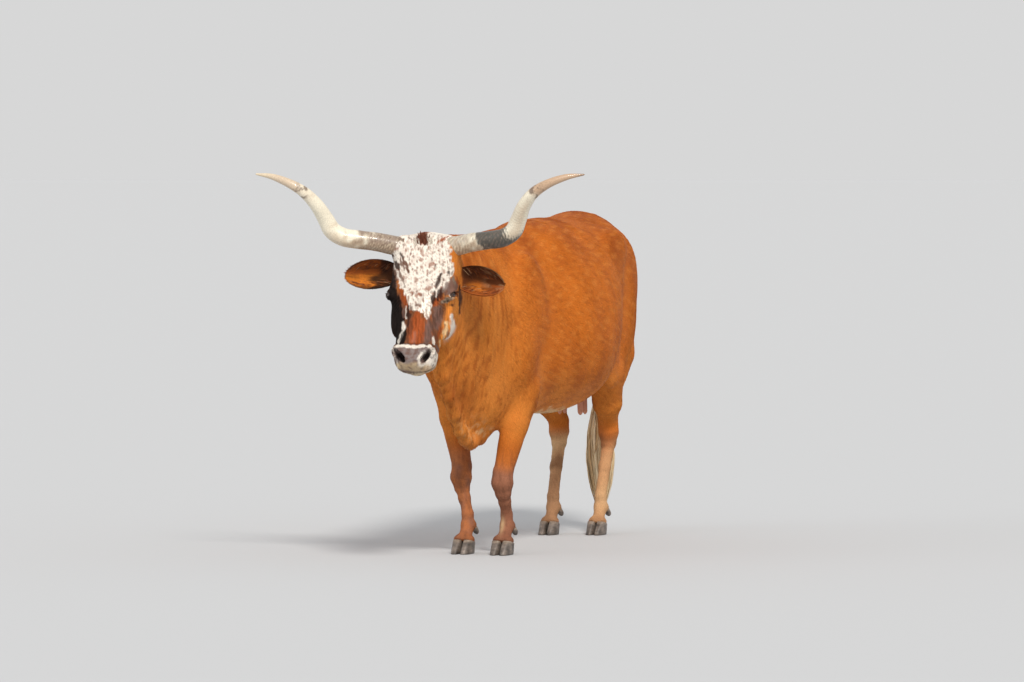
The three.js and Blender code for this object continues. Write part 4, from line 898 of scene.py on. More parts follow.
# Marks in the same view: colour, strength, softness, then stops across, down and half width, in millimetres.
faceMarks = [
    # Black down the right temple from the horn root: black coat, and painted shade under the horn root.
    ("black", 0.95, 5, [(-147, 48, 6.3), (-144, 123, 7.8), (-151, 193, 13.3), (-144, 256, 20.4),
                        (-121, 303, 25.1)]),
    ("black", 0.97, 4, [(-121, 311, 29), (-110, 354, 24.3), (-99, 393, 22), (-99, 425, 17.3),
                        (-106, 442, 8.6)]),
    ("black", 0.95, 4, [(-126, 232, 13.3), (-109, 272, 11), (-99, 311, 8.6)]),
    ("mauve", 0.85, 4, [(-126, 177, 7.8), (-117, 209, 7.8)]),
    ("bridge", 0.9, 3, [(-98, 225, 6.3), (-86, 256, 7.1), (-76, 291, 5.5)]),
    ("mauve", 0.75, 3, [(-86, 303, 4.7), (-86, 330, 4.7)]),
    ("white", 0.9, 2, [(-76, 291, 1.5), (-76, 338, 2.5)]),
    ("dark", 0.95, 3, [(-67, 287, 4.4), (-65, 326, 5.9), (-68, 372, 5.4)]),
    ("white", 0.9, 3, [(-87, 356, 3.9), (-84, 374, 3.5), (-96, 405, 2.7), (-107, 438, 3.1)]),
    ("black", 0.85, 4, [(-89, 397, 4.7), (-91, 436, 6.3)]),
    ("bridge", 1, 5, [(-28, 323, 14.1), (-28, 370, 27.5), (-32, 409, 32.2), (-36, 434, 25.1)]),
    ("brown", 0.55, 6, [(-57, 334, 5.5), (-57, 381, 6.3), (-67, 432, 5.5)]),
    ("pink", 0.3, 8, [(-40, 401, 8.6), (-47, 432, 9.4)]),
    ("mauve", 0.8, 6, [(15, 334, 5.5), (16, 374, 9.4), (13, 413, 12.5), (7, 434, 11.8)]),
    ("brown", 0.5, 5, [(-4, 401, 3.9), (-12, 438, 5.5)]),
    ("mauve", 0.7, 7, [(51, 303, 17.3), (51, 342, 19.6), (47, 374, 13.3)]),
    ("brown", 0.55, 6, [(33, 311, 6.3), (31, 354, 7.1), (35, 389, 6.3)]),
    ("brown", 0.45, 6, [(80, 311, 10.2), (82, 342, 7.1)]),
    ("bridge", 0.75, 6, [(68, 385, 10.2), (56, 415, 8.6)]),
    ("light", 0.5, 5, [(74, 401, 6.3), (58, 430, 5.5)]),
    ("brown", 0.6, 4, [(40, 397, 5.5), (51, 425, 3.9)]),
    ("light", 0.8, 5, [(131, 256, 10.2), (129, 311, 7.8), (131, 350, 6.3)]),
    ("white", 0.9, 4, [(109, 330, 7.1), (116, 366, 9.4), (113, 405, 11), (93, 440, 12), (72, 474, 9)]),
    ("cream", 0.8, 4, [(88, 354, 5.5), (86, 393, 7.8), (78, 421, 6.3)]),
    ("fleck", 0.7, 2, [(98, 377, 2), (96, 397, 2.4), (90, 415, 2)]),
    ("fleck", 0.6, 2, [(82, 366, 2), (78, 385, 2)]),
    ("light", 0.7, 2, [(104, 342, 2.4), (106, 362, 2.4)]),
    ("light", 0.7, 2, [(86, 428, 2), (76, 444, 2.7)]),
    ("cream", 0.8, 3, [(62, 432, 3.1), (62, 452, 3.5)]),
    ("mauve", 0.85, 3, [(48, 448, 6.3), (56, 472, 5.9)]),
    ("white", 0.9, 3, [(33, 415, 3.5), (37, 444, 4.3)]),
    ("white", 0.92, 4, [(95, 183, 7.1), (83, 209, 7.8), (69, 232, 3.9)]),
    ("bridge", 0.92, 4, [(64, 213, 5.5), (53, 248, 12.5), (43, 279, 13.3)]),
    ("dark", 0.93, 2, [(67, 157, 3.9), (58, 177, 5.1), (51, 197, 3.9), (43, 217, 3.9)]),
    ("dark", 0.93, 2, [(38, 228, 4.5), (33, 256, 5.1), (33, 279, 4.5)]),
    ("white", 0.9, 2, [(62, 209, 2.5), (53, 228, 3.1), (47, 250, 2.5)]),
    ("dark", 0.88, 2, [(66, 217, 3.9), (59, 240, 5.1), (51, 264, 5.1)]),
    ("dark", 0.73, 2, [(79, 209, 3.1), (71, 232, 4.5), (64, 256, 3.9)]),
    ("brown", 0.68, 2, [(77, 181, 3.1), (71, 200, 3.1)]),
    ("white", 0.85, 2, [(85, 197, 4.1), (77, 220, 3.1)]),
    ("dark", 0.88, 2, [(-99, 75, 4.5), (-89, 93, 3.9)]),
    ("brown", 0.93, 2, [(-89, 95, 3.1), (-78, 119, 3.9), (-70, 134, 3.1), (-64, 154, 2.5)]),
    ("brown", 0.83, 2, [(-102, 95, 2.5), (-91, 119, 3.9), (-82, 142, 2.5)]),
    ("dark", 0.93, 2, [(-121, 109, 3.9), (-112, 126, 5.8), (-105, 142, 3.9)]),
    ("brown", 0.83, 2, [(-106, 146, 3.1), (-98, 166, 3.1), (-91, 189, 2.5)]),
    ("brown", 0.88, 2, [(-127, 142, 3.9), (-121, 162, 4.5), (-112, 181, 3.9)]),
    ("mauve", 0.6, 3, [(-125, 115, 3.1), (-130, 134, 3.9)]),
    ("brown", 0.68, 2, [(-89, 177, 2.5), (-81, 201, 2.5)]),
    ("fleck", 0.85, 3, [(-25, 241, 6.3), (-17, 243, 5.9)]),
    ("fleck", 0.8, 2, [(-54, 235, 4.7), (-51, 243, 3.1)]),
    ("fleck", 0.7, 2, [(0, 220, 2.4), (19, 217, 2.7), (30, 212, 2)]),
    ("fleck", 0.7, 2, [(18, 134, 2.4), (24, 121, 2.7), (33, 115, 2.7), (40, 119, 2.4)]),
    ("dark", 0.78, 2, [(44, 127, 5.1), (44, 129, 5.1)]),
    ("dark", 0.88, 2, [(98, 152, 5.8), (98, 154, 5.8)]),
    ("brown", 0.68, 2, [(78, 185, 4.5), (78, 187, 4.5)]),
    ("fleck", 0.7, 2, [(5, 303, 2), (7, 330, 2)]),
    ("fleck", 0.7, 2, [(-9, 303, 1.6), (0, 323, 2)]),
    ("brown", 0.78, 2, [(-36, 284, 3.9), (-20, 286, 3.9)]),
    ("brown", 0.68, 2, [(-59, 289, 3.9), (-53, 299, 3.9)]),
    ("fleck", 0.7, 2, [(-119, 61, 3.9), (-110, 56, 3.1)]),
    ("fleck", 0.6, 2, [(-83, 40, 2.7), (-76, 42, 2.4)]),
    ("brown", 0.68, 2, [(-65, 7, 3.9), (-56, 21, 4.5)]),
    ("fleck", 0.6, 2, [(-10, 56, 3.1), (-9, 75, 2.4), (0, 83, 2)]),
    ("bridge", 0.9, 3, [(54, 33, 3.5), (74, 20, 5.1), (95, 6, 3.9)]),
    ("light", 0.95, 4, [(-121, 8, 7.8), (-130, 23, 8.6)]),
    ("brown", 0.6, 4, [(-135, 36, 4.7), (-140, 60, 5.5)]),
    ("mauve", 0.9, 4, [(114, 181, 10.2), (117, 209, 16.5), (107, 228, 17.3)]),
    ("mauve", 0.85, 4, [(88, 240, 9), (88, 222, 10), (95, 200, 7)]),
    ("bridge", 0.8, 2, [(124, 162, 2.4), (134, 189, 2.7), (138, 213, 2.7)]),
    ("black", 0.92, 3, [(109, 237, 4.7), (135, 232, 5.5)]),
    # A white line under the left eye: the pale rim of the lower lid, with painted glints along it.
    ("white", 0.75, 1.5, [(101, 246, 2), (113, 250, 2), (131, 246, 2.5)]),
    ("ash", 0.85, 3, [(72, 272, 5.5), (92, 266, 7.1), (117, 259, 6.3)]),
    ("dark", 0.68, 2, [(78, 272, 2.5), (102, 272, 2.5)]),
    ("dark", 0.85, 3, [(106, 286, 5.5), (116, 283, 4.7)]),
    # A dark line down the back of the left jaw, where head and neck meet: painted shadow.
    ("dark", 0.95, 3, [(143, 207, 4.5), (146, 256, 5.8), (144, 317, 3.9)]),
    ("bridge", 0.9, 5, [(-4, -12, 11.8), (-9, 9, 15.7), (-11, 34, 6.3)]),
    ("deepBrown", 0.8, 5, [(-4, -12, 6.3), (-12, 9, 9.4), (-14, 26, 4.7)]),
    ("ash", 0.5, 4, [(116, 177, 5.5), (123, 195, 4.7)]),
    ("brown", 0.7, 3, [(90, 228, 5.5), (86, 244, 4.7)]),
    ("fleck", 0.6, 2, [(109, 350, 2), (114, 362, 2)]),
    ("fleck", 0.6, 2, [(108, 421, 2), (100, 430, 2)]),
    ("dark", 0.5, 3, [(31, 448, 2.4), (40, 464, 2.7)]),
]
# Flecks of the forehead: width and height of a cell, seed, share of cells, colour, strength.
fleckLayers = [
    (12, 17, 1.0, 0.8, "fleck", 0.5), (19, 25, 2.0, 0.58, "brown", 0.6),
    (26, 34, 3.0, 0.45, "fleck", 0.65), (9, 13, 4.0, 0.45, "brown", 0.5),
]
muzzleMarks = [
    # Darker mauve down the right edge of the muzzle: painted shade.
    ("mauve", 0.8, 5, [(-128, 480, 7), (-130, 515, 8), (-122, 548, 8)]),
    ("mauve", 0.6, 7, [(-105, 552, 9), (-60, 562, 9)]),
    ("tan", 0.4, 7, [(0, 548, 10), (45, 545, 10)]),
    ("white", 0.8, 2.5, [(-31, 505, 2.5), (-12, 489, 4), (6, 474, 2.5)]),
    ("mauve", 0.75, 3, [(-9, 512, 4.5), (-10, 526, 5)]),
    ("cream", 0.7, 3, [(-113, 528, 3.5), (-104, 541, 3)]),
    ("brown", 0.6, 2, [(40, 500, 2.5), (42, 514, 3)]),
    ("brown", 0.5, 2, [(34, 470, 2.5), (30, 482, 2)]),
    ("brown", 0.45, 4, [(-80, 478, 4), (-58, 486, 5)]),
]


def flecks(across, down, wide, tall, seed, chance):
    # Dashes long down the face, one at most in each cell.
    column = np.floor(across / wide)
    place = down / tall + 0.37 * column
    row = np.floor(place)

    def draw(k):
        return np.modf(np.abs(np.sin(column * 12.9898 + row * 78.233 + k * 37.719 + seed) * 43758.5453))[0]

    x = across / wide - column - 0.5 - 0.5 * (draw(1) - 0.5)
    y = place - row - 0.5 - 0.4 * (draw(2) - 0.5)
    size = 0.13 + 0.17 * draw(3)
    return smoothStep(size * 1.2, size * 0.6, np.hypot(x, y * 0.85)) * (draw(4) < chance)


def earColours(points, colour, side):
    root, course, facing, upward, reach = earFrame(side)
    slant = facing @ course
    away = points - root
    away = away + np.array([0, 0, ears["sag"]]) * ((away @ course / reach) ** 2)[:, None]
    front = ((away - (away @ course)[:, None] * course) @ facing) / (1 - slant**2)
    share = (away @ course - front * slant) / reach
    half = np.maximum(earHalf(share), 3)
    height = (away @ -upward) / half
    back = -half * (0.9 - 0.48 * share) * np.sqrt(np.clip(1 - height**2, 0, 1))
    inside = smoothStep(0.6, 1.8, front - back) * smoothStep(0.10, 0.2, share) * (share < 1.1)
    if side > 0:
        inside = inside * smoothStep(134, 140, headPlace(points)[0])
    streak = ripple(np.stack([share * 60, height * 60, 0 * share], 1), 34, 61 + side)
    fine = ripple(np.stack([share * 50, height * 110, 0 * share], 1), 22, 63 + side)
    if side > 0:
        # Left ear: dark red inside and dark brown over its upper part, both painted shade, lit orange low in
        # the middle as a painted highlight, dark brown at the root and in a band across it, and tan streaks.
        deepRoot = smoothStep(0.52, 0.24, share + 0.06 * streak - 0.08 * height)
        paint(colour, "bridge", 0.85 * inside)
        paint(colour, "deepBrown", 0.88 * inside * smoothStep(-0.45, 0.1, height + 0.25 * streak))
        paint(colour, "litOrange", 0.85 * inside * bell(share, 0.47, 0.16) * bell(height, -0.45, 0.32))
        band = bell(share, 0.76, 0.07) * smoothStep(-0.2, 0.7, fine)
        paint(colour, "deepBrown", 0.85 * inside * np.maximum(deepRoot, band))
        paint(colour, "tan", 0.35 * inside * smoothStep(0.3, 1.2, fine) * smoothStep(0.5, 0.7, share))
    else:
        # Right ear: bright orange inside, painted as lit, dark red over its upper part as painted shade, fine
        # dark streaks, black at the root and dark top and bottom edges.
        deepRoot = smoothStep(0.54, 0.44, share + 0.05 * streak + 0.14 * height)
        paint(colour, "litOrange", 0.8 * inside)
        paint(colour, "bridge", 0.8 * inside * smoothStep(-0.1, 0.45, height + 0.25 * streak))
        paint(colour, "deepBrown", 0.5 * inside * smoothStep(0.3, 1.3, fine))
        paint(colour, "black", 0.9 * deepRoot * (share > -0.2))
        paint(colour, "dark", 0.6 * inside * smoothStep(0.80, 0.95, np.abs(height)))
    return colour


def eyeSkinColours(colour, points):
    for sign in (1, -1):
        centre, outwards, long, short = eyePlace(sign)
        away = points - centre
        reach = np.hypot((away @ long) / 1.9, away @ short)
        if sign < 0:
            paint(colour, "black", 0.9 * smoothStep(48, 30, np.linalg.norm(away, axis=1)))
        paint(colour, "black", 0.95 * smoothStep(13, 9.5, reach) * (away @ outwards > -6))


def muzzleColours(colour, points, soft, fine):
    # White rim under a dark line, grey pad, nostrils darkened by painted shade in their hollows, cream lips.
    out, along, behind = headPlace(points)
    side = np.abs(out)
    rimStart = 473 + 0.12 * np.maximum(side - 34, 0) + 1.5 * fine
    rim = smoothStep(-1.5, 1.5, along - rimStart) * (behind < 150)
    paint(colour, "dark", 0.75 * bell(along - rimStart, -3.5, 3.2) * smoothStep(62, 50, side) * (behind < 60))
    paint(colour, "white", 0.95 * rim)
    paint(colour, "cream", 0.45 * smoothStep(50, 90, behind) * rim)
    padEdge = np.where(out > 0, 62, 74) - 0.30 * (along - 505)
    pad = smoothStep(486, 489, along + 1.5 * fine) * smoothStep(5, -5, side - padEdge + 2 * soft)
    pad = pad * smoothStep(64, 54, behind)
    paint(colour, "pad", pad)
    paint(colour, "mauve", 0.75 * pad * smoothStep(0.1, 1.1, ripple(points, 24, 40) + 0.4 * fine))
    paint(colour, "brown", 0.35 * pad * smoothStep(0.5, 1.4, ripple(points, 12, 43)))
    lower = smoothStep(538, 552, along + 3 * soft) * rim
    paint(colour, "cream", 0.55 * lower)
    paint(colour, "mauve", 0.6 * rim * smoothStep(0.5, 1.2, ripple(points, 20, 37))
          * np.maximum(lower, smoothStep(48, 90, side)))
    for sign in (1, -1):
        way = unit(headLeft * sign - faceDown * nostrils["steep"])
        away = points - onHead(sign * nostrils["out"], nostrils["along"], 14) - way * 4
        deep = unit(faceBack - headLeft * sign * 0.35)
        third = unit(np.cross(way, deep))
        hole = np.hypot((away @ way) / 2.1, away @ third) + 40 * (away @ deep > 48)
        margin = bell(hole, 18, 3.5) * smoothStep(2, -6, (away @ headLeft) * sign)
        margin = margin * smoothStep(-30, 10, away @ faceDown)
        paint(colour, "white", 0.75 * margin * (sign > 0))
        size = 16 if sign < 0 else 14
        # The nostrils' hollows are painted black as shade.
        paint(colour, "black", 0.93 * smoothStep(size, size - 6, hole + 1.2 * fine))
    # A dark line along the mouth: painted shade in its crease.
    lipLine = smoothStep(9, 3, np.abs(mouthLevel(along, behind)))
    paint(colour, "dark", 0.7 * lipLine * smoothStep(mouth["start"], mouth["full"], along))


def faceColours(points, colour):
    out, along, behind = headPlace(points)
    soft, fine = ripple(points, 60, 31), ripple(points, 22, 32)
    across = 1.025 * out - 0.096 * along + 0.188 * behind + 1.2 * fine
    down = 0.006 * out + 0.947 * along + 0.445 * behind + 1.6 * soft
    seen = np.where(out > 0, smoothStep(290, 250, behind), smoothStep(112, 84, behind)) * (along > -70)
    blackSeen = np.maximum(seen, (out < 0) * smoothStep(165, 140, behind) * (along > -70))
    onHeadOnly = smoothStep(-60, -20, along) * smoothStep(330, 250, behind)
    # The left half of the head is lighter orange: painted light on its lit side.
    paint(colour, "light", 0.45 * onHeadOnly * smoothStep(-20, 20, out))
    lower = smoothStep(222, 262, along + 6 * soft) * smoothStep(120, 84, behind + 0.4 * out)
    lower = lower * smoothStep(492, 480, along)
    inner = smoothStep(112, 88, out)
    paint(colour, "brown", 0.88 * lower * inner)
    paint(colour, "bridge", 0.45 * lower * smoothStep(0.1, 1.2, ripple(points, 40, 44)) * inner)
    # Black of the right cheek, fading towards the jaw.
    cheek = smoothStep(36, 70, along + 8 * soft) * smoothStep(478, 452, along + 6 * soft)
    edge = -np.interp(along, [40, 150, 200, 227, 289, 330, 360, 412, 453],
                      [122, 120, 113, 105, 78, 70, 64, 60, 58])
    jaw = np.interp(along, [40, 130, 220, 400], [96, 120, 185, 120])
    blackSide = smoothStep(8, -8, out - edge + 5 * soft)
    blackSide = blackSide * smoothStep(18, -14, behind - jaw + 16 * soft + 6 * fine)
    paint(colour, "black", 0.97 * cheek * blackSide)
    paint(colour, "brown", 0.45 * cheek * (1 - blackSide) * smoothStep(-40, -70, out)
          * smoothStep(260, 200, behind))
    # White of the forehead.
    right = np.interp(down, blaze["rightDown"], blaze["right"])
    left = np.interp(down, blaze["leftDown"], blaze["left"])
    white = smoothStep(3.5, -3.5, across - left + 2.5 * fine)
    white = white * smoothStep(-3.5, 3.5, across - right + 2.5 * fine)
    white = white * smoothStep(346, 340, down) * smoothStep(150, 120, behind) * smoothStep(-75, -60, along)
    white = white * np.where(out < 0, smoothStep(140, 115, behind), 1)
    paint(colour, "white", white)
    fan = across - 0.28 * np.sign(out) * np.maximum(np.abs(out) - 15, 0) * (along - 230) / 230
    for wide, tall, seed, chance, name, strength in fleckLayers:
        paint(colour, name, strength * white * flecks(fan, down, wide, tall, seed, chance))
    paint(colour, "fleck", 0.16 * white * smoothStep(0.1, 1.3, ripple(points, 44, 35)))
    flat = np.stack([across, down, 0 * down], 1)
    strand = ripple(flat * [1, 0.22, 1], 9, 30)

    def addMarks(marks):
        for name, strength, softness, stops in marks:
            reach = chainDistance([(x, y, 0, r) for x, y, r in stops], flat) + 0.45 * softness * strand
            here = blackSeen if name == "black" else seen
            paint(colour, name, strength * here * smoothStep(softness, -softness, reach))

    addMarks(faceMarks)
    front = onHeadOnly * smoothStep(120, 90, behind) * smoothStep(486, 470, along)
    colour = colour * (1 + 0.16 * front * strand * (along > 250))[:, None]
    eyeSkinColours(colour, points)
    muzzleColours(colour, points, soft, fine)
    addMarks(muzzleMarks)
    for sign in (1, -1):
        ear = (out * sign > 96) & (np.abs(along - 118) < 120)
        if ear.any():
            kept = (white * smoothStep(134, 122, np.abs(out)))[ear][:, None]
            colour[ear] = earColours(points[ear], colour[ear], sign) * (1 - kept) + colour[ear] * kept
    return colour


def setColours(mesh, name, colours):
    layer = mesh.attributes.new(name, "FLOAT_COLOR", "POINT")
    layer.data.foreach_set("color", np.c_[colours, np.ones(len(colours))].ravel())


setColours(skinObject.data, "coatColour", markings(bareSkin))
settle(skinObject.data)


def newMaterial(name, rough=0.6, shine=0.5, tint=(1, 1, 1)):
    material = bpy.data.materials.new(name)
    material.use_nodes = True
    tree = material.node_tree
    tree.nodes.clear()
    out = tree.nodes.new("ShaderNodeOutputMaterial")
    shader = tree.nodes.new("ShaderNodeBsdfPrincipled")
    tree.links.new(shader.outputs[0], out.inputs[0])
    shader.inputs["Roughness"].default_value = rough
    shader.inputs["Specular IOR Level"].default_value = shine
    shader.inputs["Specular Tint"].default_value = (*tint, 1)
    return material, tree, shader


def addNode(tree, kind, inputs=None, **settings):
    node = tree.nodes.new(kind)
    for key, value in settings.items():
        setattr(node, key, value)
    for key, value in (inputs or {}).items():
        if hasattr(value, "links"):
            tree.links.new(value, node.inputs[key])
        else:
            node.inputs[key].default_value = value
    return node


materials = {}


def grainMaterial(name, attribute, rough, scale, depth, strength, **other):
    # The point colours, broken up by a fine grain that also gives a small bump.
    look = {"stretch": (1, 1, 1), "detail": 4, "between": (0.3, 0.7), "spread": (0.82, 1.16),
            "coatWeight": 0.0, "shine": 0.5, "tint": (1, 1, 1), **other}
    material, tree, shader = newMaterial(name, rough, look["shine"], look["tint"])
    place = addNode(tree, "ShaderNodeTexCoord").outputs["Object"]
    mapped = addNode(tree, "ShaderNodeMapping", {"Vector": place, "Scale": look["stretch"]}).outputs[0]
    paintOn = addNode(tree, "ShaderNodeAttribute", attribute_name=attribute).outputs["Color"]
    noise = addNode(tree, "ShaderNodeTexNoise", {"Vector": mapped, "Scale": scale, "Detail": look["detail"],
                                                 "Roughness": 0.6}).outputs["Fac"]
    shade = addNode(tree, "ShaderNodeMapRange", {"Value": noise, "From Min": look["between"][0],
                                                 "From Max": look["between"][1], "To Min": look["spread"][0],
                                                 "To Max": look["spread"][1]})
    scaled = addNode(tree, "ShaderNodeVectorMath", {0: paintOn, "Scale": shade.outputs[0]}, operation="SCALE")
    tree.links.new(scaled.outputs[0], shader.inputs["Base Color"])
    bump = addNode(tree, "ShaderNodeBump", {"Height": noise, "Strength": strength, "Distance": depth})
    tree.links.new(bump.outputs[0], shader.inputs["Normal"])
    shader.inputs["Coat Weight"].default_value = look["coatWeight"]
    materials[name] = material


def finishPiece(obj, material, slot, *nodes, smooth=True):
    obj.data.materials.clear()
    obj.data.materials.append(materials[material])
    if smooth:
        obj.data.polygons.foreach_set("use_smooth", [True] * len(obj.data.polygons))
    if nodes:
        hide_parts(*nodes)
    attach(obj, "root")


def placePiece(name, mesh, material, slot, *nodes):
    settle(mesh)
    finishPiece(addObject(name, mesh), material, slot, *nodes)


hairShine = {"shine": 0.12, "tint": (1.0, 0.72, 0.5)}
grainMaterial("short_coat", "coatColour", 0.7, 260, 0.002, 0.35, detail=3, between=(0.25, 0.75),
              spread=(0.8, 1.18), **hairShine)
grainMaterial("horn_skin", "hornColour", 0.38, 220, 0.0006, 0.35, coatWeight=0.15)
grainMaterial("claw_horn", "clawColour", 0.45, 160, 0.0006, 0.4, stretch=(1, 1, 3))
grainMaterial("wet_eye", "eyeColour", 0.04, 300, 0.0001, 0.02, coatWeight=0.4, spread=(0.95, 1.05))
grainMaterial("tuft_hair", "coatColour", 0.62, 420, 0.0002, 0.1, spread=(0.86, 1.14), **hairShine)
grainMaterial("switch_hair", "hairColour", 0.5, 380, 0.0003, 0.2, stretch=(1, 1, 0.15))

legNodes = [f"{end}leg_{half}_{side}" for end in ("fore", "hind") for half in ("upper", "lower")
            for side in ("left", "right")]
finishPiece(skinObject, "short_coat", "red_coat", "torso", "neck", "head", "ear_left", "ear_right",
            "udder", "tail", *legNodes)

# Horns
horns = {
    "baseY": -1250, "baseZ": 1259, "around": 30, "step": 3.0, "ringStep": 6.5, "ringDepth": 0.45,
    # out from the middle, up from the base, forward, radius
    "course": [(90, -4, -12, 38), (125, 0, -6, 37), (194, 15, 20, 36), (257, 23, 35, 36), (321, 34, 50, 35.5),
               (362, 60, 60, 35), (384, 102, 75, 32), (413, 159, 110, 27.5), (456, 209, 138, 23),
               (512, 244, 150, 18), (585, 271, 140, 12), (652, 281, 127, 3.5)],
}
hornColours = palette({
    "ivory": (0.80, 0.73, 0.58), "tan": (0.50, 0.35, 0.22), "ash": (0.25, 0.175, 0.130),
    "shadowSlate": (0.050, 0.044, 0.036), "rust": (0.42, 0.235, 0.125), "umber": (0.13, 0.075, 0.045),
    "cream": (0.72, 0.60, 0.42),
})


def smoothLine(stops, step):
    # An even walk along a smooth curve through the stops; the last column is carried along.
    stops = np.asarray(stops, float)
    gaps = np.linalg.norm(np.diff(stops[:, :3], axis=0), axis=1) ** 0.5
    knots = np.r_[0, np.cumsum(gaps)]
    slopes = np.gradient(stops, knots, axis=0)
    fine = np.linspace(0, knots[-1], 1200)
    line = smoothCurve(knots, stops, slopes, fine)
    walk = np.r_[0, np.cumsum(np.linalg.norm(np.diff(line[:, :3], axis=0), axis=1))]
    count = max(int(walk[-1] / step), 2)
    even = np.linspace(0, walk[-1], count + 1)
    return np.stack([np.interp(even, walk, line[:, k]) for k in range(stops.shape[1])], 1), even


def hornShape(side):
    stops = [[*(np.array([0, horns["baseY"], horns["baseZ"] + up]) + headLeft * side * out
                + headForward * forward), r] for out, up, forward, r in horns["course"]]
    line, walk = smoothLine(stops, horns["step"])
    ahead = unit(np.gradient(line[:, :3], axis=0))
    across = unit(np.cross(ahead, [0, 1, 0.2]))
    upward = unit(np.cross(across, ahead))
    turns = np.arange(horns["around"]) * 2 * math.pi / horns["around"]
    share = walk / walk[-1]
    spots = (line[:, None, :3] + 0 * turns[None, :, None]).reshape(-1, 3)
    rough = ripple(spots, 90, 41).reshape(len(line), -1)
    ring = np.sin(walk[:, None] * 2 * math.pi / horns["ringStep"] + 1.4 * rough
                  + 0.6 * np.sin(turns * 2 + side))
    fade = (smoothStep(0.55, 0.12, share) + 0.12)[:, None]
    radius = line[:, 3:4] + horns["ringDepth"] * fade * ring + 0.5 * fade * rough
    radius = radius * (1 + 0.02 * np.cos(turns * 2 + share[:, None] * 5))
    points = (line[:, None, :3] + across[:, None, :] * (radius * np.cos(turns))[..., None]
              + upward[:, None, :] * (radius * np.sin(turns))[..., None]).reshape(-1, 3)
    tip = line[-1, :3] + ahead[-1] * 5
    points = np.vstack([points, line[0, :3], tip])
    return outwardMesh("horn", points, tippedFaces(len(line), horns["around"])), line, share


def hornTones(at, line, share, side):
    # Ringed and grey at its base, ivory, then tan and darker at its tip; tan undersides are painted shade,
    # and the left one has a dark grey stretch of painted cast shadow.
    nearest = np.argmin(((at[:, None, :] - line[None, ::4, :3]) ** 2).sum(2), axis=1) * 4
    place = share[np.minimum(nearest, len(share) - 1)]
    around = at - line[np.minimum(nearest, len(line) - 1), :3]
    upSide = unit(around)[:, 2]
    front = -unit(around)[:, 1]
    cloud, grain, speck = ripple(at, 120, 42 + side), ripple(at, 34, 44 + side), ripple(at, 11, 46 + side)
    colour = np.tile(hornColours["ivory"], (len(at), 1))

    def tint(name, amount):
        paint(colour, name, amount, hornColours)

    base = smoothStep(0.24, 0.10, place + 0.03 * grain - (0.07 if side < 0 else 0))
    # Tan on the underside of the inner half: painted shade.
    tint("tan", 0.75 * smoothStep(0.46, 0.30, place + 0.03 * cloud)
         * smoothStep(0.45, -0.35, upSide + 0.3 * grain))
    tint("ash", (0.95 if side < 0 else 0.5) * base)
    # More tan under the base: painted shade.
    tint("tan", 0.4 * base * smoothStep(0.2, -0.6, upSide))
    tint("cream", (0.35 if side < 0 else 0.6) * base * smoothStep(0.3, 1.3, speck + 0.4 * grain))
    tint("umber", 0.6 * base * smoothStep(0.3, 1.3, -speck + 0.3 * grain) * (1 if side < 0 else 0.6))
    tint("umber", 0.55 * smoothStep(0.05, 0.02, place) * (1 if side < 0 else 0.3))
    if side > 0:
        # The left horn's dark grey stretch is a painted cast shadow, flecked with ash.
        start = place + 0.03 * upSide + 0.012 * grain + 0.008 * speck
        stop = place + 0.06 * front + 0.012 * speck
        stretch = smoothStep(0.20, 0.225, start) * smoothStep(0.47, 0.42, stop)
        tint("shadowSlate", 0.97 * stretch)
        tint("ash", 0.35 * stretch * smoothStep(0.2, 1.2, speck))
        # Ash on the back of the bend: painted shade.
        tint("ash", 0.5 * bell(place, 0.5, 0.13) * smoothStep(0.1, -0.5, front))
        tint("tan", 0.55 * bell(upSide * 0.4 + front * 0.6, 0.25, 0.22) * smoothStep(0.38, 0.44, place)
             * smoothStep(0.72, 0.6, place))
    else:
        # Tan under the middle of the right horn: painted shade.
        tint("tan", 0.35 * bell(place, 0.36, 0.06) * smoothStep(0.3, -0.5, upSide + 0.3 * grain))
    end = smoothStep(0.66, 0.78, place + 0.03 * cloud)
    tint("rust", (0.8 if side > 0 else 0.5) * end)
    tint("umber", 0.85 * bell(place + 0.02 * grain, 0.735, 0.035) * smoothStep(0.1, 0.8, grain + 0.4 * speck))
    tint("cream", (0.75 if side < 0 else 0.0) * smoothStep(0.84, 0.97, place))
    tint("umber", (0.6 if side > 0 else 0.0) * smoothStep(0.94, 1.0, place))
    return colour


def makeHorn(side):
    mesh, line, share = hornShape(side)
    setColours(mesh, "hornColour", hornTones(meshPoints(mesh), line, share, side))
    placePiece(f"horn_keratin_{sideName[side]}", mesh, "horn_skin", "horn", f"horn_{sideName[side]}")


for side in (1, -1):
    makeHorn(side)
print("horns: done")

# Eyes
eyeBall = {"rings": 30, "around": 40, "gap": 0.2, "cornea": 1.3, "pupil": (0.40, 0.20)}
eyeColours = palette({
    "rim": (0.11, 0.075, 0.06), "iris": (0.050, 0.022, 0.010), "pupil": (0.004, 0.004, 0.006),
})


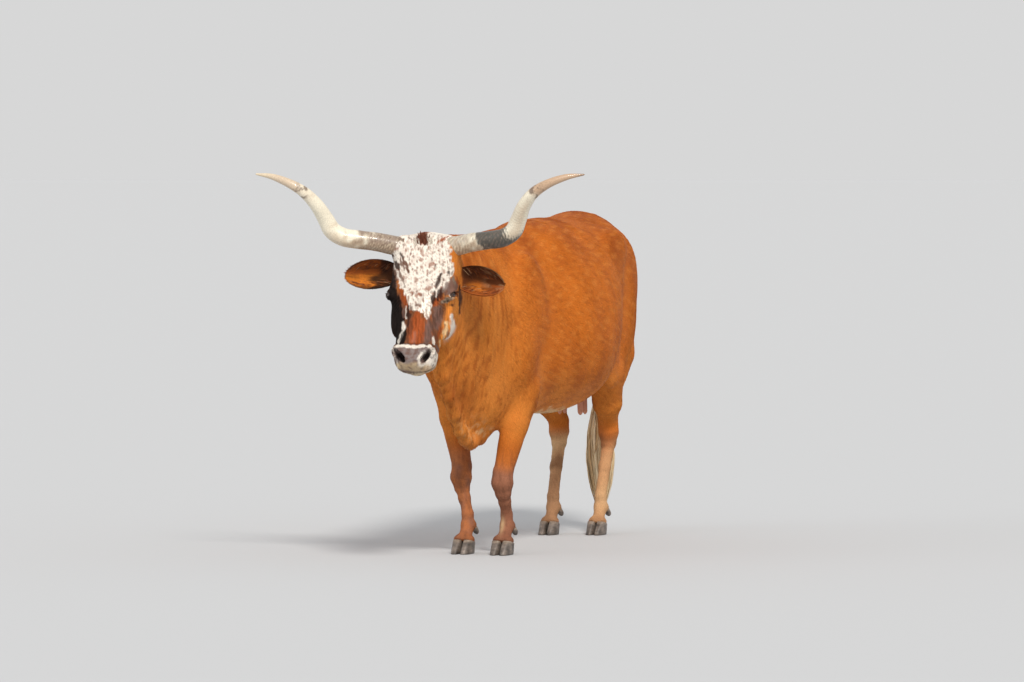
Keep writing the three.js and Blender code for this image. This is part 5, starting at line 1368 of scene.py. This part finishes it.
def makeEye(side):
    centre, outwards, long, short = eyePlace(side)
    points = []
    for i in range(1, eyeBall["rings"]):
        angle = math.pi * i / eyeBall["rings"]
        radius = eye["radius"] - eyeBall["gap"] + eyeBall["cornea"] * math.exp(-(angle / 0.5) ** 2)
        for k in range(eyeBall["around"]):
            turn = 2 * math.pi * k / eyeBall["around"]
            points.append(centre + radius * (outwards * math.cos(angle)
                          + (long * math.cos(turn) + short * math.sin(turn)) * math.sin(angle)))
    points += [centre + outwards * (eye["radius"] - eyeBall["gap"] + eyeBall["cornea"]),
               centre - outwards * eye["radius"]]
    mesh = outwardMesh("eye", points, tippedFaces(eyeBall["rings"] - 1, eyeBall["around"]))
    away = unit(meshPoints(mesh) - centre)
    level = unit(headForward * 0.9 + headLeft * side * 0.2)
    level = unit(level - outwards * (level @ outwards))
    tall = np.cross(outwards, level)
    angle = np.arccos(np.clip(away @ outwards, -1, 1))
    pupil = np.hypot((away @ level) / eyeBall["pupil"][0], (away @ tall) / eyeBall["pupil"][1])
    colour = np.tile(eyeColours["rim"], (len(away), 1))
    paint(colour, "iris", smoothStep(0.86, 0.80, angle), eyeColours)
    paint(colour, "pupil", smoothStep(1.1, 0.95, pupil), eyeColours)
    setColours(mesh, "eyeColour", colour)
    placePiece(f"eyeball_{sideName[side]}", mesh, "wet_eye", "eye", f"eye_{sideName[side]}")


for side in (1, -1):
    makeEye(side)

# Claws and dewclaws
claws = {"toe": 60, "heel": -47, "halfWidth": 21, "topBack": -50, "topFront": 14, "cleft": 2.5,
         "around": 44, "levels": 26}
dewclaws = {"out": 18, "back": 22, "below": 14, "long": 35, "halfWidth": 12.6, "halfDeep": 10.6,
            "around": 20, "levels": 14}


def clawColour(points, z0):
    cloud, grain = ripple(points, 40, 51), ripple(points, 14, 52)
    colour = np.tile([0.135, 0.108, 0.09], (len(points), 1)) * (1 + 0.25 * cloud)[:, None]
    top = smoothStep(z0 - 16, z0, points[:, 2])[:, None]
    colour = colour * (1 - 0.55 * top) + np.array([0.33, 0.25, 0.18]) * 0.55 * top
    low = smoothStep(12, 0, points[:, 2])[:, None]
    return np.clip(colour * (1 - 0.35 * low) * (1 + 0.12 * grain)[:, None], 0.01, 1)


def makeClaw(node, foot, side):
    rings = []
    for i in range(claws["levels"] + 1):
        level = i / claws["levels"]
        ring = []
        for k in range(claws["around"]):
            turn = 2 * math.pi * k / claws["around"]
            forward, outward = math.cos(turn), math.sin(turn)
            sole = claws["heel"] + (claws["toe"] - claws["heel"]) * (forward + 1) / 2
            top = claws["topBack"] + (claws["topFront"] - claws["topBack"]) * (forward + 1) / 2
            ahead = (sole + (top - sole) * level) * foot["spread"]
            bulge = abs(outward) ** 0.75 if outward > 0 else -abs(outward) ** 0.5
            edge = 1 - 0.06 * max(0, 1 - level * 9) ** 2
            crown = 1 + 0.025 * math.exp(-((level - 0.93) / 0.07) ** 2)
            wave = 1 + 0.004 * math.sin(level * 40 + forward)
            wide = claws["halfWidth"] * (1 - 0.04 * level) * foot["spread"] * edge * crown * wave
            toeIn = -6 * ((forward + 1) / 2) ** 2 * (1 - level) * (1 if outward > 0 else 0.2)
            x = (claws["cleft"] + claws["halfWidth"]) * foot["spread"] + wide * bulge + toeIn
            y = foot["y"] - ahead
            slope = coronet["height"] - 0.15 - (y - foot["y"] - coronet["behind"]) * coronet["slope"]
            ring.append([foot["x"] + side * max(x, claws["cleft"] * 0.8), y, level * slope])
        rings += ring
    mesh = outwardMesh("claw", rings, loftFaces(claws["levels"] + 1, claws["around"]))
    setColours(mesh, "clawColour", clawColour(meshPoints(mesh), 56))
    placePiece(f"{node}_horn", mesh, "claw_horn", "claw", node)


def makeDewclaw(node, name, side):
    fetlock = np.array(joints[name]["fetlock"], float)
    root = fetlock + [side * dewclaws["out"], dewclaws["back"], -dewclaws["below"]]
    course = unit([side * 0.2, 0.55, -0.8])
    across = unit(np.cross(course, [0, 1, 0]))
    upward = np.cross(across, course)
    around, levels = dewclaws["around"], dewclaws["levels"]
    points = []
    for share in np.linspace(0, 1, levels):
        size = math.sqrt(max(1 - max(share - 0.45, 0) ** 2 / 0.31, 0.0)) * (1 + 0.02 * math.sin(share * 30))
        for k in range(around):
            turn = 2 * math.pi * k / around
            points.append(root + course * share * dewclaws["long"]
                          + across * dewclaws["halfWidth"] * size * math.cos(turn)
                          + upward * dewclaws["halfDeep"] * size * math.sin(turn))
    mesh = outwardMesh("dewclaw", points, loftFaces(levels, around))
    setColours(mesh, "clawColour", clawColour(meshPoints(mesh), 104))
    placePiece(f"{node}_horn", mesh, "claw_horn", "claw", node)


for name, foot in feet.items():
    end = "fore" if name.startswith("fore") else "hind"
    body = "left" if name.endswith("Left") else "right"
    for side in (1, -1):
        place = "outer" if sideName[side] == body else "inner"
        makeClaw(f"{end}_claw_{body}_{place}", foot, side)
        makeDewclaw(f"{end}_dewclaw_{body}_{place}", name, side)
print("eyes and claws: done")

# The tail's switch: long locks that part from the end of the tail and hang free.
switch = {"locks": 420, "y": 886, "top": 690, "rootLow": 500, "tip": 86, "tipSpread": 330, "steps": 13,
          "width": 5.5, "thick": 2.2, "shares": [0.4, 0.3, 0.1, 0.2],
          "colours": [(0.76, 0.58, 0.34), (0.64, 0.44, 0.22), (0.46, 0.26, 0.10), (0.86, 0.72, 0.48)]}
# How far the locks stand from its middle at each height.
switchProfile = ((60, 9), (110, 22), (190, 44), (300, 56), (420, 48), (540, 30), (600, 17), (700, 14))


def lockMesh(paths, widths, thicks, flats, colours, name):
    # Flat tapered locks: each path has the same number of stops; the section is a flat lens of 4 sides.
    count, steps = paths.shape[:2]
    ahead = unit(np.gradient(paths, axis=1))
    side = unit(np.cross(ahead, flats))
    up = np.cross(side, ahead)
    share = np.linspace(0, 1, steps)
    swell = 0.55 + 0.45 * np.sin(np.clip(share * 3, 0, 1) * math.pi / 2)
    taper = np.sqrt(np.clip(1 - share**2.2, 0.0, 1)) * swell
    taper[-1] = 0.05
    corners = [(1, 0), (0, 1), (-1, 0), (0, -1)]
    rings = np.stack([paths + side * (a * widths[:, None] * taper)[..., None]
                      + up * (b * thicks[:, None] * taper)[..., None] for a, b in corners], 2)
    points = rings.reshape(-1, 3)
    base = (np.arange(count) * steps * 4)[:, None, None]
    r = (np.arange(steps - 1) * 4)[None, :, None]
    k = np.arange(4)[None, None, :]
    j = (k + 1) % 4
    quads = np.stack([base + r + k, base + r + j, base + r + 4 + j, base + r + 4 + k], -1).reshape(-1, 4)
    first = (np.arange(count) * steps * 4)[:, None] + np.array([[3, 2, 1, 0]])
    last = (np.arange(count) * steps * 4 + (steps - 1) * 4)[:, None] + np.array([[0, 1, 2, 3]])
    mesh = fastMesh(name, points, np.vstack([quads, first, last]))
    setColours(mesh, "hairColour", np.repeat(colours, steps * 4, axis=0))
    return mesh


def finishHair(name, paths, widths, thicks, flats, tones, slot, *nodes):
    mesh = lockMesh(paths, widths, thicks, flats, tones, name)
    placePiece(name, mesh, "switch_hair", slot, *nodes)


def fastMesh(name, points, faces):
    mesh = bpy.data.meshes.new(name)
    faces = np.asarray(faces, np.int32)
    sides = faces.shape[1]
    mesh.vertices.add(len(points))
    mesh.vertices.foreach_set("co", np.ascontiguousarray(points, dtype=np.float32).ravel())
    mesh.loops.add(faces.size)
    mesh.loops.foreach_set("vertex_index", faces.ravel())
    mesh.polygons.add(len(faces))
    mesh.polygons.foreach_set("loop_start", np.arange(len(faces), dtype=np.int32) * sides)
    mesh.update(calc_edges=True)
    mesh.validate()
    return mesh


def makeSwitch():
    draw = np.random.default_rng(61)
    count, steps = switch["locks"], switch["steps"]
    angle = draw.uniform(0, 2 * math.pi, count)
    spread = np.sqrt(draw.uniform(0.03, 1, count))
    rootZ = draw.uniform(switch["rootLow"], switch["top"], count)
    tipZ = switch["tip"] + switch["tipSpread"] * draw.uniform(0, 1, count) ** 1.8
    share = np.linspace(0, 1, steps)[None, :]
    z = rootZ[:, None] + (tipZ - rootZ)[:, None] * share
    profileZ, profileR = np.array(switchProfile).T
    reach = np.interp(z, profileZ, profileR) * (0.25 + 0.75 * spread[:, None] * smoothStep(0, 0.35, share))
    reach = reach * (1 + 0.06 * np.sin(share * 7 + angle[:, None] * 3)) - 4 * (share < 0.01)
    turn = angle[:, None] + 0.35 * np.sin(share * 4 + 5 * spread[:, None]) * share
    paths = np.stack([reach * np.cos(turn) * 1.15, switch["y"] + reach * np.sin(turn) * 0.8, z], -1)
    flats = np.stack([np.cos(turn), np.sin(turn), 0 * turn], -1)
    widths = switch["width"] * draw.uniform(0.6, 1.3, count)
    thicks = switch["thick"] * draw.uniform(0.7, 1.2, count)
    picked = draw.choice(4, count, p=switch["shares"])
    tones = np.array(switch["colours"])[picked] * draw.uniform(0.8, 1.1, (count, 1))
    finishHair("tail_switch_locks", paths, widths, thicks, flats, tones, "tail_hair", "tail_switch")


makeSwitch()
print("tail switch: done")

# The coat: short tufts that lie along the body, grown by one node tree on points of the skin.
coatTufts = {
    "trunk_left": {"density": 29000, "Length": 17.0, "Width": 3.8, "Lift": 0.75, "Seed": 1},
    "trunk_right": {"density": 29000, "Length": 17.0, "Width": 3.8, "Lift": 0.75, "Seed": 2},
    "neck": {"density": 42000, "Length": 15.0, "Width": 3.0, "Lift": 0.75, "Seed": 3},
    "head": {"density": 110000, "Length": 9.0, "Width": 2.0, "Lift": 0.55, "Seed": 4},
    "forelegs": {"density": 60000, "Length": 11.0, "Width": 2.4, "Lift": 0.6, "Seed": 5},
    "hindlegs": {"density": 60000, "Length": 11.0, "Width": 2.4, "Lift": 0.6, "Seed": 6},
    "face": {"density": 420000, "Length": 6.0, "Width": 1.15, "Lift": 0.4, "Seed": 7},
}
mostTufts = 48500  # of 4 triangles each, so that no piece passes 200,000


def flakeObject():
    # One tuft, 1 long: a thin closed flake, broad at its root and pointed at its tip.
    points = np.array([[0, 0.5, -1.0], [0, -0.5, -1.0], [0.42, 0.0, 1.0], [1.0, 0.0, 0.9]])
    mesh = meshFrom("flake", points, [[0, 1, 2], [0, 2, 3], [1, 3, 2], [0, 3, 1]])
    patch = mesh.attributes.new("patch", "FLOAT_VECTOR", "POINT")
    spread = np.array([[-1, -1, 0], [1, -1, 0], [0, 0, 0], [0, 1, 0]])
    patch.data.foreach_set("vector", spread.ravel() * 0.0015)
    return addObject("flake", mesh)


def tuftTree():
    tree = bpy.data.node_groups.new("grow_tufts", "GeometryNodeTree")
    for name, kind in (("Geometry", "Geometry"), ("Tuft", "Object"), ("Length", "Float"), ("Width", "Float"),
                       ("Lift", "Float"), ("Seed", "Int"), ("Material", "Material")):
        tree.interface.new_socket(name, in_out="INPUT", socket_type=f"NodeSocket{kind}")
    tree.interface.new_socket("Geometry", in_out="OUTPUT", socket_type="NodeSocketGeometry")
    given = tree.nodes.new("NodeGroupInput").outputs
    done = tree.nodes.new("NodeGroupOutput").inputs

    def stored(name, kind):
        node = addNode(tree, "GeometryNodeInputNamedAttribute", {"Name": name}, data_type=kind)
        return node.outputs["Attribute"]

    def times(a, b):
        return addNode(tree, "ShaderNodeMath", {0: a, 1: b}, operation="MULTIPLY").outputs[0]

    tuft = addNode(tree, "GeometryNodeObjectInfo", {"Object": given["Tuft"], "As Instance": True})
    turn = addNode(tree, "FunctionNodeAxesToRotation", {"Primary Axis": stored("outward", "FLOAT_VECTOR"),
                                                        "Secondary Axis": stored("lie", "FLOAT_VECTOR")})
    size = stored("size", "FLOAT")
    draws = []
    for low, high in ((0.72, 1.25), (0.7, 1.2), (0.4, 1.5)):
        number = addNode(tree, "GeometryNodeInputIndex").outputs[0]
        draw = addNode(tree, "FunctionNodeRandomValue",
                       {2: low, 3: high, "Seed": given["Seed"], "ID": number}, data_type="FLOAT")
        draws.append(times(draw.outputs[1], size))
    scale = addNode(tree, "ShaderNodeCombineXYZ", {"X": times(given["Length"], draws[0]),
                                                   "Y": times(given["Width"], draws[1]),
                                                   "Z": times(given["Lift"], draws[2])}).outputs[0]
    grown = addNode(tree, "GeometryNodeInstanceOnPoints", {
        "Points": given["Geometry"], "Instance": tuft.outputs["Geometry"], "Rotation": turn.outputs[0],
        "Scale": scale})
    real = addNode(tree, "GeometryNodeRealizeInstances", {"Geometry": grown.outputs[0]}).outputs[0]
    place = addNode(tree, "ShaderNodeVectorMath", {0: stored("rootPlace", "FLOAT_VECTOR"),
                                                   1: stored("patch", "FLOAT_VECTOR")}, operation="ADD")
    baked = addNode(tree, "GeometryNodeStoreNamedAttribute",
                    {"Geometry": real, "Name": "OFBake", "Value": place.outputs[0]},
                    data_type="FLOAT2", domain="CORNER")
    dressed = addNode(tree, "GeometryNodeSetMaterial",
                      {"Geometry": baked.outputs[0], "Material": given["Material"]})
    tree.links.new(dressed.outputs[0], done[0])
    return tree


def regionOf(points):
    x, y, z = points.T
    out, along, behind = headPlace(points)
    region = np.where(x > 0, 0, 1)
    region = np.where(y < -650 + (z - 900) * -0.36, 2, region)
    region = np.where((z < 600) & (y < -380) & (np.abs(x) > 40), 4, region)
    region = np.where((z < 660) & (y > 340) & (y < 860), 5, region)
    onEar = (y < -1050) & (np.abs(out) > 118) & (z > 1050)
    region = np.where(((y < -1150 + (z - 1005) * 0.13) & (behind < 280)) | onEar, 3, region)
    return np.where((region == 3) & ~onEar & (behind < 74) & (along < 500), 6, region)


def lieOf(points):
    # The way the hair lies at each place.
    x, y, z = points.T
    out, along, behind = headPlace(points)
    way = np.tile([0.0, 1.0, -0.30], (len(points), 1))

    def blendTo(target, amount):
        nonlocal way
        amount = np.clip(amount, 0, 1)[:, None]
        way = way * (1 - amount) + np.asarray(target) * amount

    blendTo([0, 0.75, -0.6], smoothStep(-560, -800, y))
    blendTo([0, 0.25, -1.0], smoothStep(-600, -760, y) * smoothStep(90, 30, np.abs(x)) * (z < 1100))
    blendTo([0, 0.35, -1.0], smoothStep(420, 620, y) * smoothStep(1120, 950, z))
    blendTo([0, 0.12, -1.0], smoothStep(700, 560, z) * ((y > 380) | (y < -400)))
    blendTo([0, 0.1, -1.0], smoothStep(850, 880, y) * (np.abs(x) < 60))
    onFace = smoothStep(-1150, -1200, y) * (behind < 290)
    facing = smoothStep(150, 235, along)[:, None] * 2 - 1
    face = faceDown * facing + headLeft * (np.sign(out) * 0.8 * bell(along, 195, 60))[:, None]
    blendTo(face, onFace * smoothStep(90, 50, behind))
    blendTo(faceBack * 0.8 + faceDown * 0.45, onFace * smoothStep(50, 90, behind))
    for side in (1, -1):
        root, course, *_ = earFrame(side)
        along = (points - root) @ course
        off = np.linalg.norm(points - root - along[:, None] * course, axis=1)
        blendTo(course, ((along > 12) & (off < 80)).astype(float))
    return unit(way)


def unwrapSkin(points, name):
    # Places of the roots on an unwrap of each region round its own axis, 0 to 1 both ways.
    x, y, z = points.T
    out, along, behind = headPlace(points)
    if name in ("head", "face"):
        turn = np.arctan2(out, behind - 110) / (2 * math.pi) + 0.5
        onEar = np.abs(out) > 122
        u = np.where(onEar, 0.84 + (np.abs(out) - 118) / 240 * 0.14, turn * 0.8)
        v = np.where(onEar, (z - 1020) / 260 * 0.45 + np.where(out > 0, 0.5, 0), (along + 90) / 720)
    elif name.endswith("legs"):
        middleX = np.where(x > 0, 96, -104)
        middleY = 620 if name == "hindlegs" else -560
        turn = np.arctan2(y - middleY, x - middleX) / (2 * math.pi) + 0.5
        u, v = (np.where(x > 0, 0, 1) + 0.02 + 0.96 * turn) / 2, (z - 20) / 660
    else:
        turn = np.arctan2(x, z - 960) / (2 * math.pi) + 0.5
        if name == "neck":
            u, v = turn, (y + 1300) / 800
        else:
            onTail = (np.abs(x) < 45) & (y > 868)
            u = np.where(onTail, 0.9 + 0.1 * (x + 45) / 90, (turn * 2 - (name == "trunk_left")) * 0.88)
            v = np.where(onTail, (z - 480) / 860, (y + 720) / 1680)
    return np.clip(np.stack([u, v, 0 * u], 1), 0.004, 0.996)


def smallHair(points):
    _, along, _ = headPlace(points)
    onFace = (points[:, 1] < -1180) * smoothStep(380, 450, along)
    return np.maximum(smoothStep(260, 90, points[:, 2]), onFace)


def hasHair(points):
    # No hair grows on the nose pad, in the nostrils and lids, on the udder, or just above the claws.
    out, along, behind = headPlace(points)
    bare = (along > 488) & (np.abs(out) < 70) & (behind < 68) & (points[:, 1] < -1300)
    for side in (1, -1):
        centre, outwards, _, _ = eyePlace(side)
        bare |= np.linalg.norm(points - centre - outwards * 10, axis=1) < 19
        bare |= np.linalg.norm(points - onHead(side * 52, 514, 14), axis=1) < 30
    bare |= (np.abs(points[:, 1] - 500) < 100) & (np.abs(points[:, 0]) < 66) & (points[:, 2] < 640)
    return ~(bare | (points[:, 2] < 40))


def tuftRoots(name, tris, weight, draw):
    # Points spread over the triangles, with what the node tree reads at each of them.
    count = int(min(weight.sum(), mostTufts))
    steps = (np.arange(count) + draw.uniform(0, 1, count)) / count * weight.sum()
    corners = tris[np.searchsorted(np.cumsum(weight), steps)]
    u, v = draw.uniform(0, 1, (2, count))
    u, v = np.where(u + v > 1, 1 - u, u), np.where(u + v > 1, 1 - v, v)
    share = np.stack([1 - u - v, u, v], 1)[..., None]
    root, bare = (foldedSkin[corners] * share).sum(1), (bareSkin[corners] * share).sum(1)
    outward = unit((skinNormals[corners] * share).sum(1))
    lie = lieOf(bare)
    lie = unit(lie - outward * (lie * outward).sum(1, keepdims=True))
    turn = (0.22 * ripple(bare, 150, 71) + draw.normal(0, 0.15, count))[:, None]
    lie = lie * np.cos(turn) + np.cross(outward, lie) * np.sin(turn)
    roots = meshFrom("roots", root * mm + shapeOffset, [])
    lightness = np.clip(draw.normal(1, 0.15, (count, 1)), 0.55, 1.5)
    setColours(roots, "coatColour", np.clip(markings(bare) * lightness, 0.003, 0.95))
    for key, values in (("outward", outward), ("lie", lie), ("rootPlace", unwrapSkin(bare, name))):
        roots.attributes.new(key, "FLOAT_VECTOR", "POINT").data.foreach_set("vector", values.ravel())
    small = 0 if name == "face" else 0.4
    roots.attributes.new("size", "FLOAT", "POINT").data.foreach_set("value", 1 - small * smallHair(bare))
    return roots


def growCoat():
    mesh = skinObject.data
    mesh.calc_loop_triangles()
    tris = np.empty(len(mesh.loop_triangles) * 3, int)
    mesh.loop_triangles.foreach_get("vertices", tris)
    tris = tris.reshape(-1, 3)
    a, b, c = foldedSkin[tris[:, 0]], foldedSkin[tris[:, 1]], foldedSkin[tris[:, 2]]
    areas = np.linalg.norm(np.cross(b - a, c - a), axis=1) / 2 * mm * mm
    middles = bareSkin[tris].mean(1)
    region, hairy = regionOf(middles), hasHair(middles)
    flake, tree = flakeObject(), tuftTree()
    sockets = {item.name: item.identifier for item in tree.interface.items_tree if item.in_out == "INPUT"}
    for i, (name, spec) in enumerate(coatTufts.items()):
        mine = np.flatnonzero((region == i) & hairy)
        weight = areas[mine] * spec["density"] * (1 + 1.4 * smallHair(middles[mine]))
        roots = tuftRoots(name, tris[mine], weight, np.random.default_rng(80 + i))
        count = len(roots.vertices)
        obj = addObject(f"coat_{name}", roots)
        grow = obj.modifiers.new("tufts", "NODES")
        grow.node_group = tree
        for key in ("Length", "Width", "Lift"):
            grow[sockets[key]] = spec[key] * mm
        grow[sockets["Seed"]] = spec["Seed"]
        grow[sockets["Tuft"]] = flake
        grow[sockets["Material"]] = materials["tuft_hair"]
        made = bpy.data.meshes.new_from_object(obj.evaluated_get(bpy.context.evaluated_depsgraph_get()))
        obj.modifiers.clear()
        obj.data = made
        made.polygons.foreach_set("use_smooth", [True] * len(made.polygons))
        normals = readVectors(made.attributes["outward"].data, "vector")
        made.normals_split_custom_set_from_vertices(normals)
        for key in ("outward", "lie", "rootPlace", "size", "patch"):
            made.attributes.remove(made.attributes[key])
        finishPiece(obj, "tuft_hair", "face_coat" if name in ("head", "face") else "red_coat", smooth=False)
        print(f"coat {name}:", count, "tufts on", round(float(areas[mine].sum()), 2), "square metres")
    bpy.data.objects.remove(flake)


growCoat()

# Longer hair: the tuft on the poll, the hair of the ears and the lashes.
longHair = {"poll": 130, "ear": 170, "lash": 30, "thick": 0.5}
hairColours = palette({
    "bridge": (0.15, 0.036, 0.013), "red": (0.40, 0.105, 0.020), "cream": (0.66, 0.42, 0.22),
    "white": (0.78, 0.69, 0.58), "lash": (0.025, 0.018, 0.015),
})


def makePollTuft():
    draw = np.random.default_rng(91)
    count, steps = longHair["poll"], 8
    spread = draw.uniform(-1, 1, count)
    row = draw.uniform(0, 1, count)
    share = np.linspace(0, 1, steps)[None, :]
    long = 44 * draw.uniform(0.4, 1.1, count) * (1 - 0.6 * np.abs(spread))
    aside = spread * 0.5 + draw.uniform(-0.3, 0.3, count)
    lift = long[:, None] * (0.34 * share + 0.12 * share**2) - 2
    upwards = long[:, None] * (0.85 * share - 0.15 * share**2)
    sideways = (aside * long * 0.45)[:, None] * share
    roots = (onHead(0, 0, 0) + headLeft * (spread * 36 - 4)[:, None] + faceDown * (12 + 34 * row)[:, None]
             + faceBack * 2)
    paths = (roots[:, None, :] - faceBack * lift[..., None] - faceDown * upwards[..., None]
             + headLeft * sideways[..., None])
    flats = np.tile(-faceBack, (count, steps, 1))
    middle = (np.abs(spread + 0.02 + draw.normal(0, 0.14, count)) < 0.62 - 0.2 * row)[:, None]
    tones = np.where(middle, hairColours["bridge"], hairColours["white"])
    tones = tones * draw.uniform(0.8, 1.15, (count, 1))
    widths, thicks = draw.uniform(1.4, 2.8, count), draw.uniform(0.7, 1.2, count)
    finishHair("poll_tuft", paths, widths, thicks, flats, tones, "face_coat")


def makeEarHair(side):
    draw = np.random.default_rng(93 + side)
    root, course, facing, upward, reach = earFrame(side)
    count, steps = longHair["ear"], 6
    place = draw.uniform(0.16, 0.9, count)
    edge = draw.choice([-1, 1], count, p=[0.45, 0.55])
    turn = edge * (math.pi / 2) * draw.uniform(0.35, 0.94, count)
    half = earHalf(place)
    depth = half * (0.9 - 0.48 * place)
    centre = root + course * (place * reach)[:, None] - np.array([0, 0, ears["sag"]]) * (place**2)[:, None]
    start = (centre + upward * (half * 0.9 * np.sin(turn))[:, None]
             + facing * (-depth * np.cos(turn) + 5)[:, None])
    long = draw.uniform(18, 40, count) * (1 - 0.5 * place)
    share = np.linspace(0, 1, steps)[None, :, None]
    into = upward * (-edge * 0.55)[:, None] + facing * 0.35
    way = unit(course * 1.0 + into + draw.normal(0, 0.15, (count, 3)))
    drop = np.array([0, 0, -0.22])
    long = long[:, None, None]
    paths = start[:, None, :] + way[:, None, :] * share * long + drop * share**2 * long
    pick = draw.uniform(0, 1, (count, 1))
    tones = np.where(pick < 0.5, hairColours["red"], hairColours["bridge"])
    tones = np.where(pick < 0.08, hairColours["cream"], tones)
    widths, thicks = draw.uniform(0.45, 0.9, count), np.full(count, longHair["thick"])
    tones = tones * draw.uniform(0.7, 1.1, (count, 1))
    flats = np.tile(facing, (count, steps, 1))
    finishHair(f"ear_hair_{sideName[side]}", paths, widths, thicks, flats, tones, "red_coat")


def makeLashes(side):
    draw = np.random.default_rng(97 + side)
    centre, outwards, long, short = eyePlace(side)
    count, steps = longHair["lash"], 6
    up = short if short[2] > 0 else -short
    turn = np.linspace(0.12, 0.88, count) * math.pi + draw.normal(0, 0.03, count)
    rim = centre + outwards * (lids["proud"] + lids["thick"] * 0.7)
    start = (rim + long * (np.cos(turn) * lids["long"])[:, None]
             + up * (np.sin(turn) * (lids["short"] - 1))[:, None])
    way = unit(outwards * 0.95 + up * 0.05 + long * (np.cos(turn) * 0.5)[:, None]
               + draw.normal(0, 0.08, (count, 3)))
    reach = draw.uniform(6, 9.5, count)
    share = np.linspace(0, 1, steps)[None, :, None]
    paths = (start[:, None, :] + way[:, None, :] * share * reach[:, None, None] - up * share * 3
             + up * share**2 * 6)
    flats, tones = np.tile(up, (count, steps, 1)), np.tile(hairColours["lash"], (count, 1))
    finishHair(f"lashes_{sideName[side]}", paths, np.full(count, 0.5), np.full(count, 0.4), flats, tones,
               "face_coat")


makePollTuft()
for side in (1, -1):
    makeEarHair(side)
    makeLashes(side)
print("long hair: done")

# Floor, lights and camera.
studio = {"floor": (0.534, 0.5455, 0.562), "floorRough": 0.9, "floorSize": 400, "sky": 0.68}
# Each lamp: where it stands, how wide it looks, its power and its colour.
lamps = {
    "sun": ((5.0, -7.5, 8.0), 0.22, 2.5, (1.0, 0.955, 0.89)),
    "fill": ((-7.0, -5.0, 3.2), 0.6, 0.35, (0.92, 0.96, 1.0)),
}
# Where the photo was taken from; pixelX, pixelY is its point at camera height in line with the origin.
view = {"turn": 19.5, "height": 1.7, "away": 22.5, "wide": 1024, "high": 682, "focalPixels": 5432,
        "pixelX": 532, "pixelY": 133.3, "sensor": 36}


def makeStage():
    bpy.ops.mesh.primitive_plane_add(size=studio["floorSize"], location=(0, 0, -mm))
    floor = bpy.context.object
    floor.name = "floor"
    material, _, shader = newMaterial("pale_floor", studio["floorRough"])
    shader.inputs["Base Color"].default_value = (*studio["floor"], 1)
    floor.data.materials.append(material)
    world = bpy.data.worlds.new("studio")
    bpy.context.scene.world = world
    world.use_nodes = True
    sky = world.node_tree.nodes["Background"]
    sky.inputs[0].default_value = (1.0, 1.0, 1.0, 1)
    sky.inputs[1].default_value = studio["sky"]
    for name, (spot, wide, power, colour) in lamps.items():
        light = bpy.data.lights.new(name, "SUN")
        light.angle, light.energy, light.color = wide, power, colour
        lamp = bpy.data.objects.new(name, light)
        lamp.location = spot
        lamp.rotation_euler = (-Vector(spot)).to_track_quat("-Z", "Y").to_euler()
        bpy.context.scene.collection.objects.link(lamp)


def makeCamera():
    turn = math.radians(view["turn"])
    ahead = Vector((-math.sin(turn), math.cos(turn), 0))
    camera = bpy.data.objects.new("camera", bpy.data.cameras.new("camera"))
    camera.data.lens = view["focalPixels"] / view["wide"] * view["sensor"]
    camera.data.sensor_width = view["sensor"]
    camera.data.clip_end = 200
    camera.location = Vector(shapeOffset) + Vector((0, 0, view["height"])) - ahead * view["away"]
    right = (view["wide"] / 2 - view["pixelX"]) / view["focalPixels"]
    down = (view["high"] / 2 - view["pixelY"]) / view["focalPixels"]
    side = Vector((math.cos(turn), math.sin(turn), 0))
    look = ahead + side * right - Vector((0, 0, down))
    camera.rotation_euler = look.to_track_quat("-Z", "Y").to_euler()
    bpy.context.scene.collection.objects.link(camera)
    bpy.context.scene.camera = camera


bpy.context.scene.view_settings.view_transform = "Standard"
makeStage()
makeCamera()
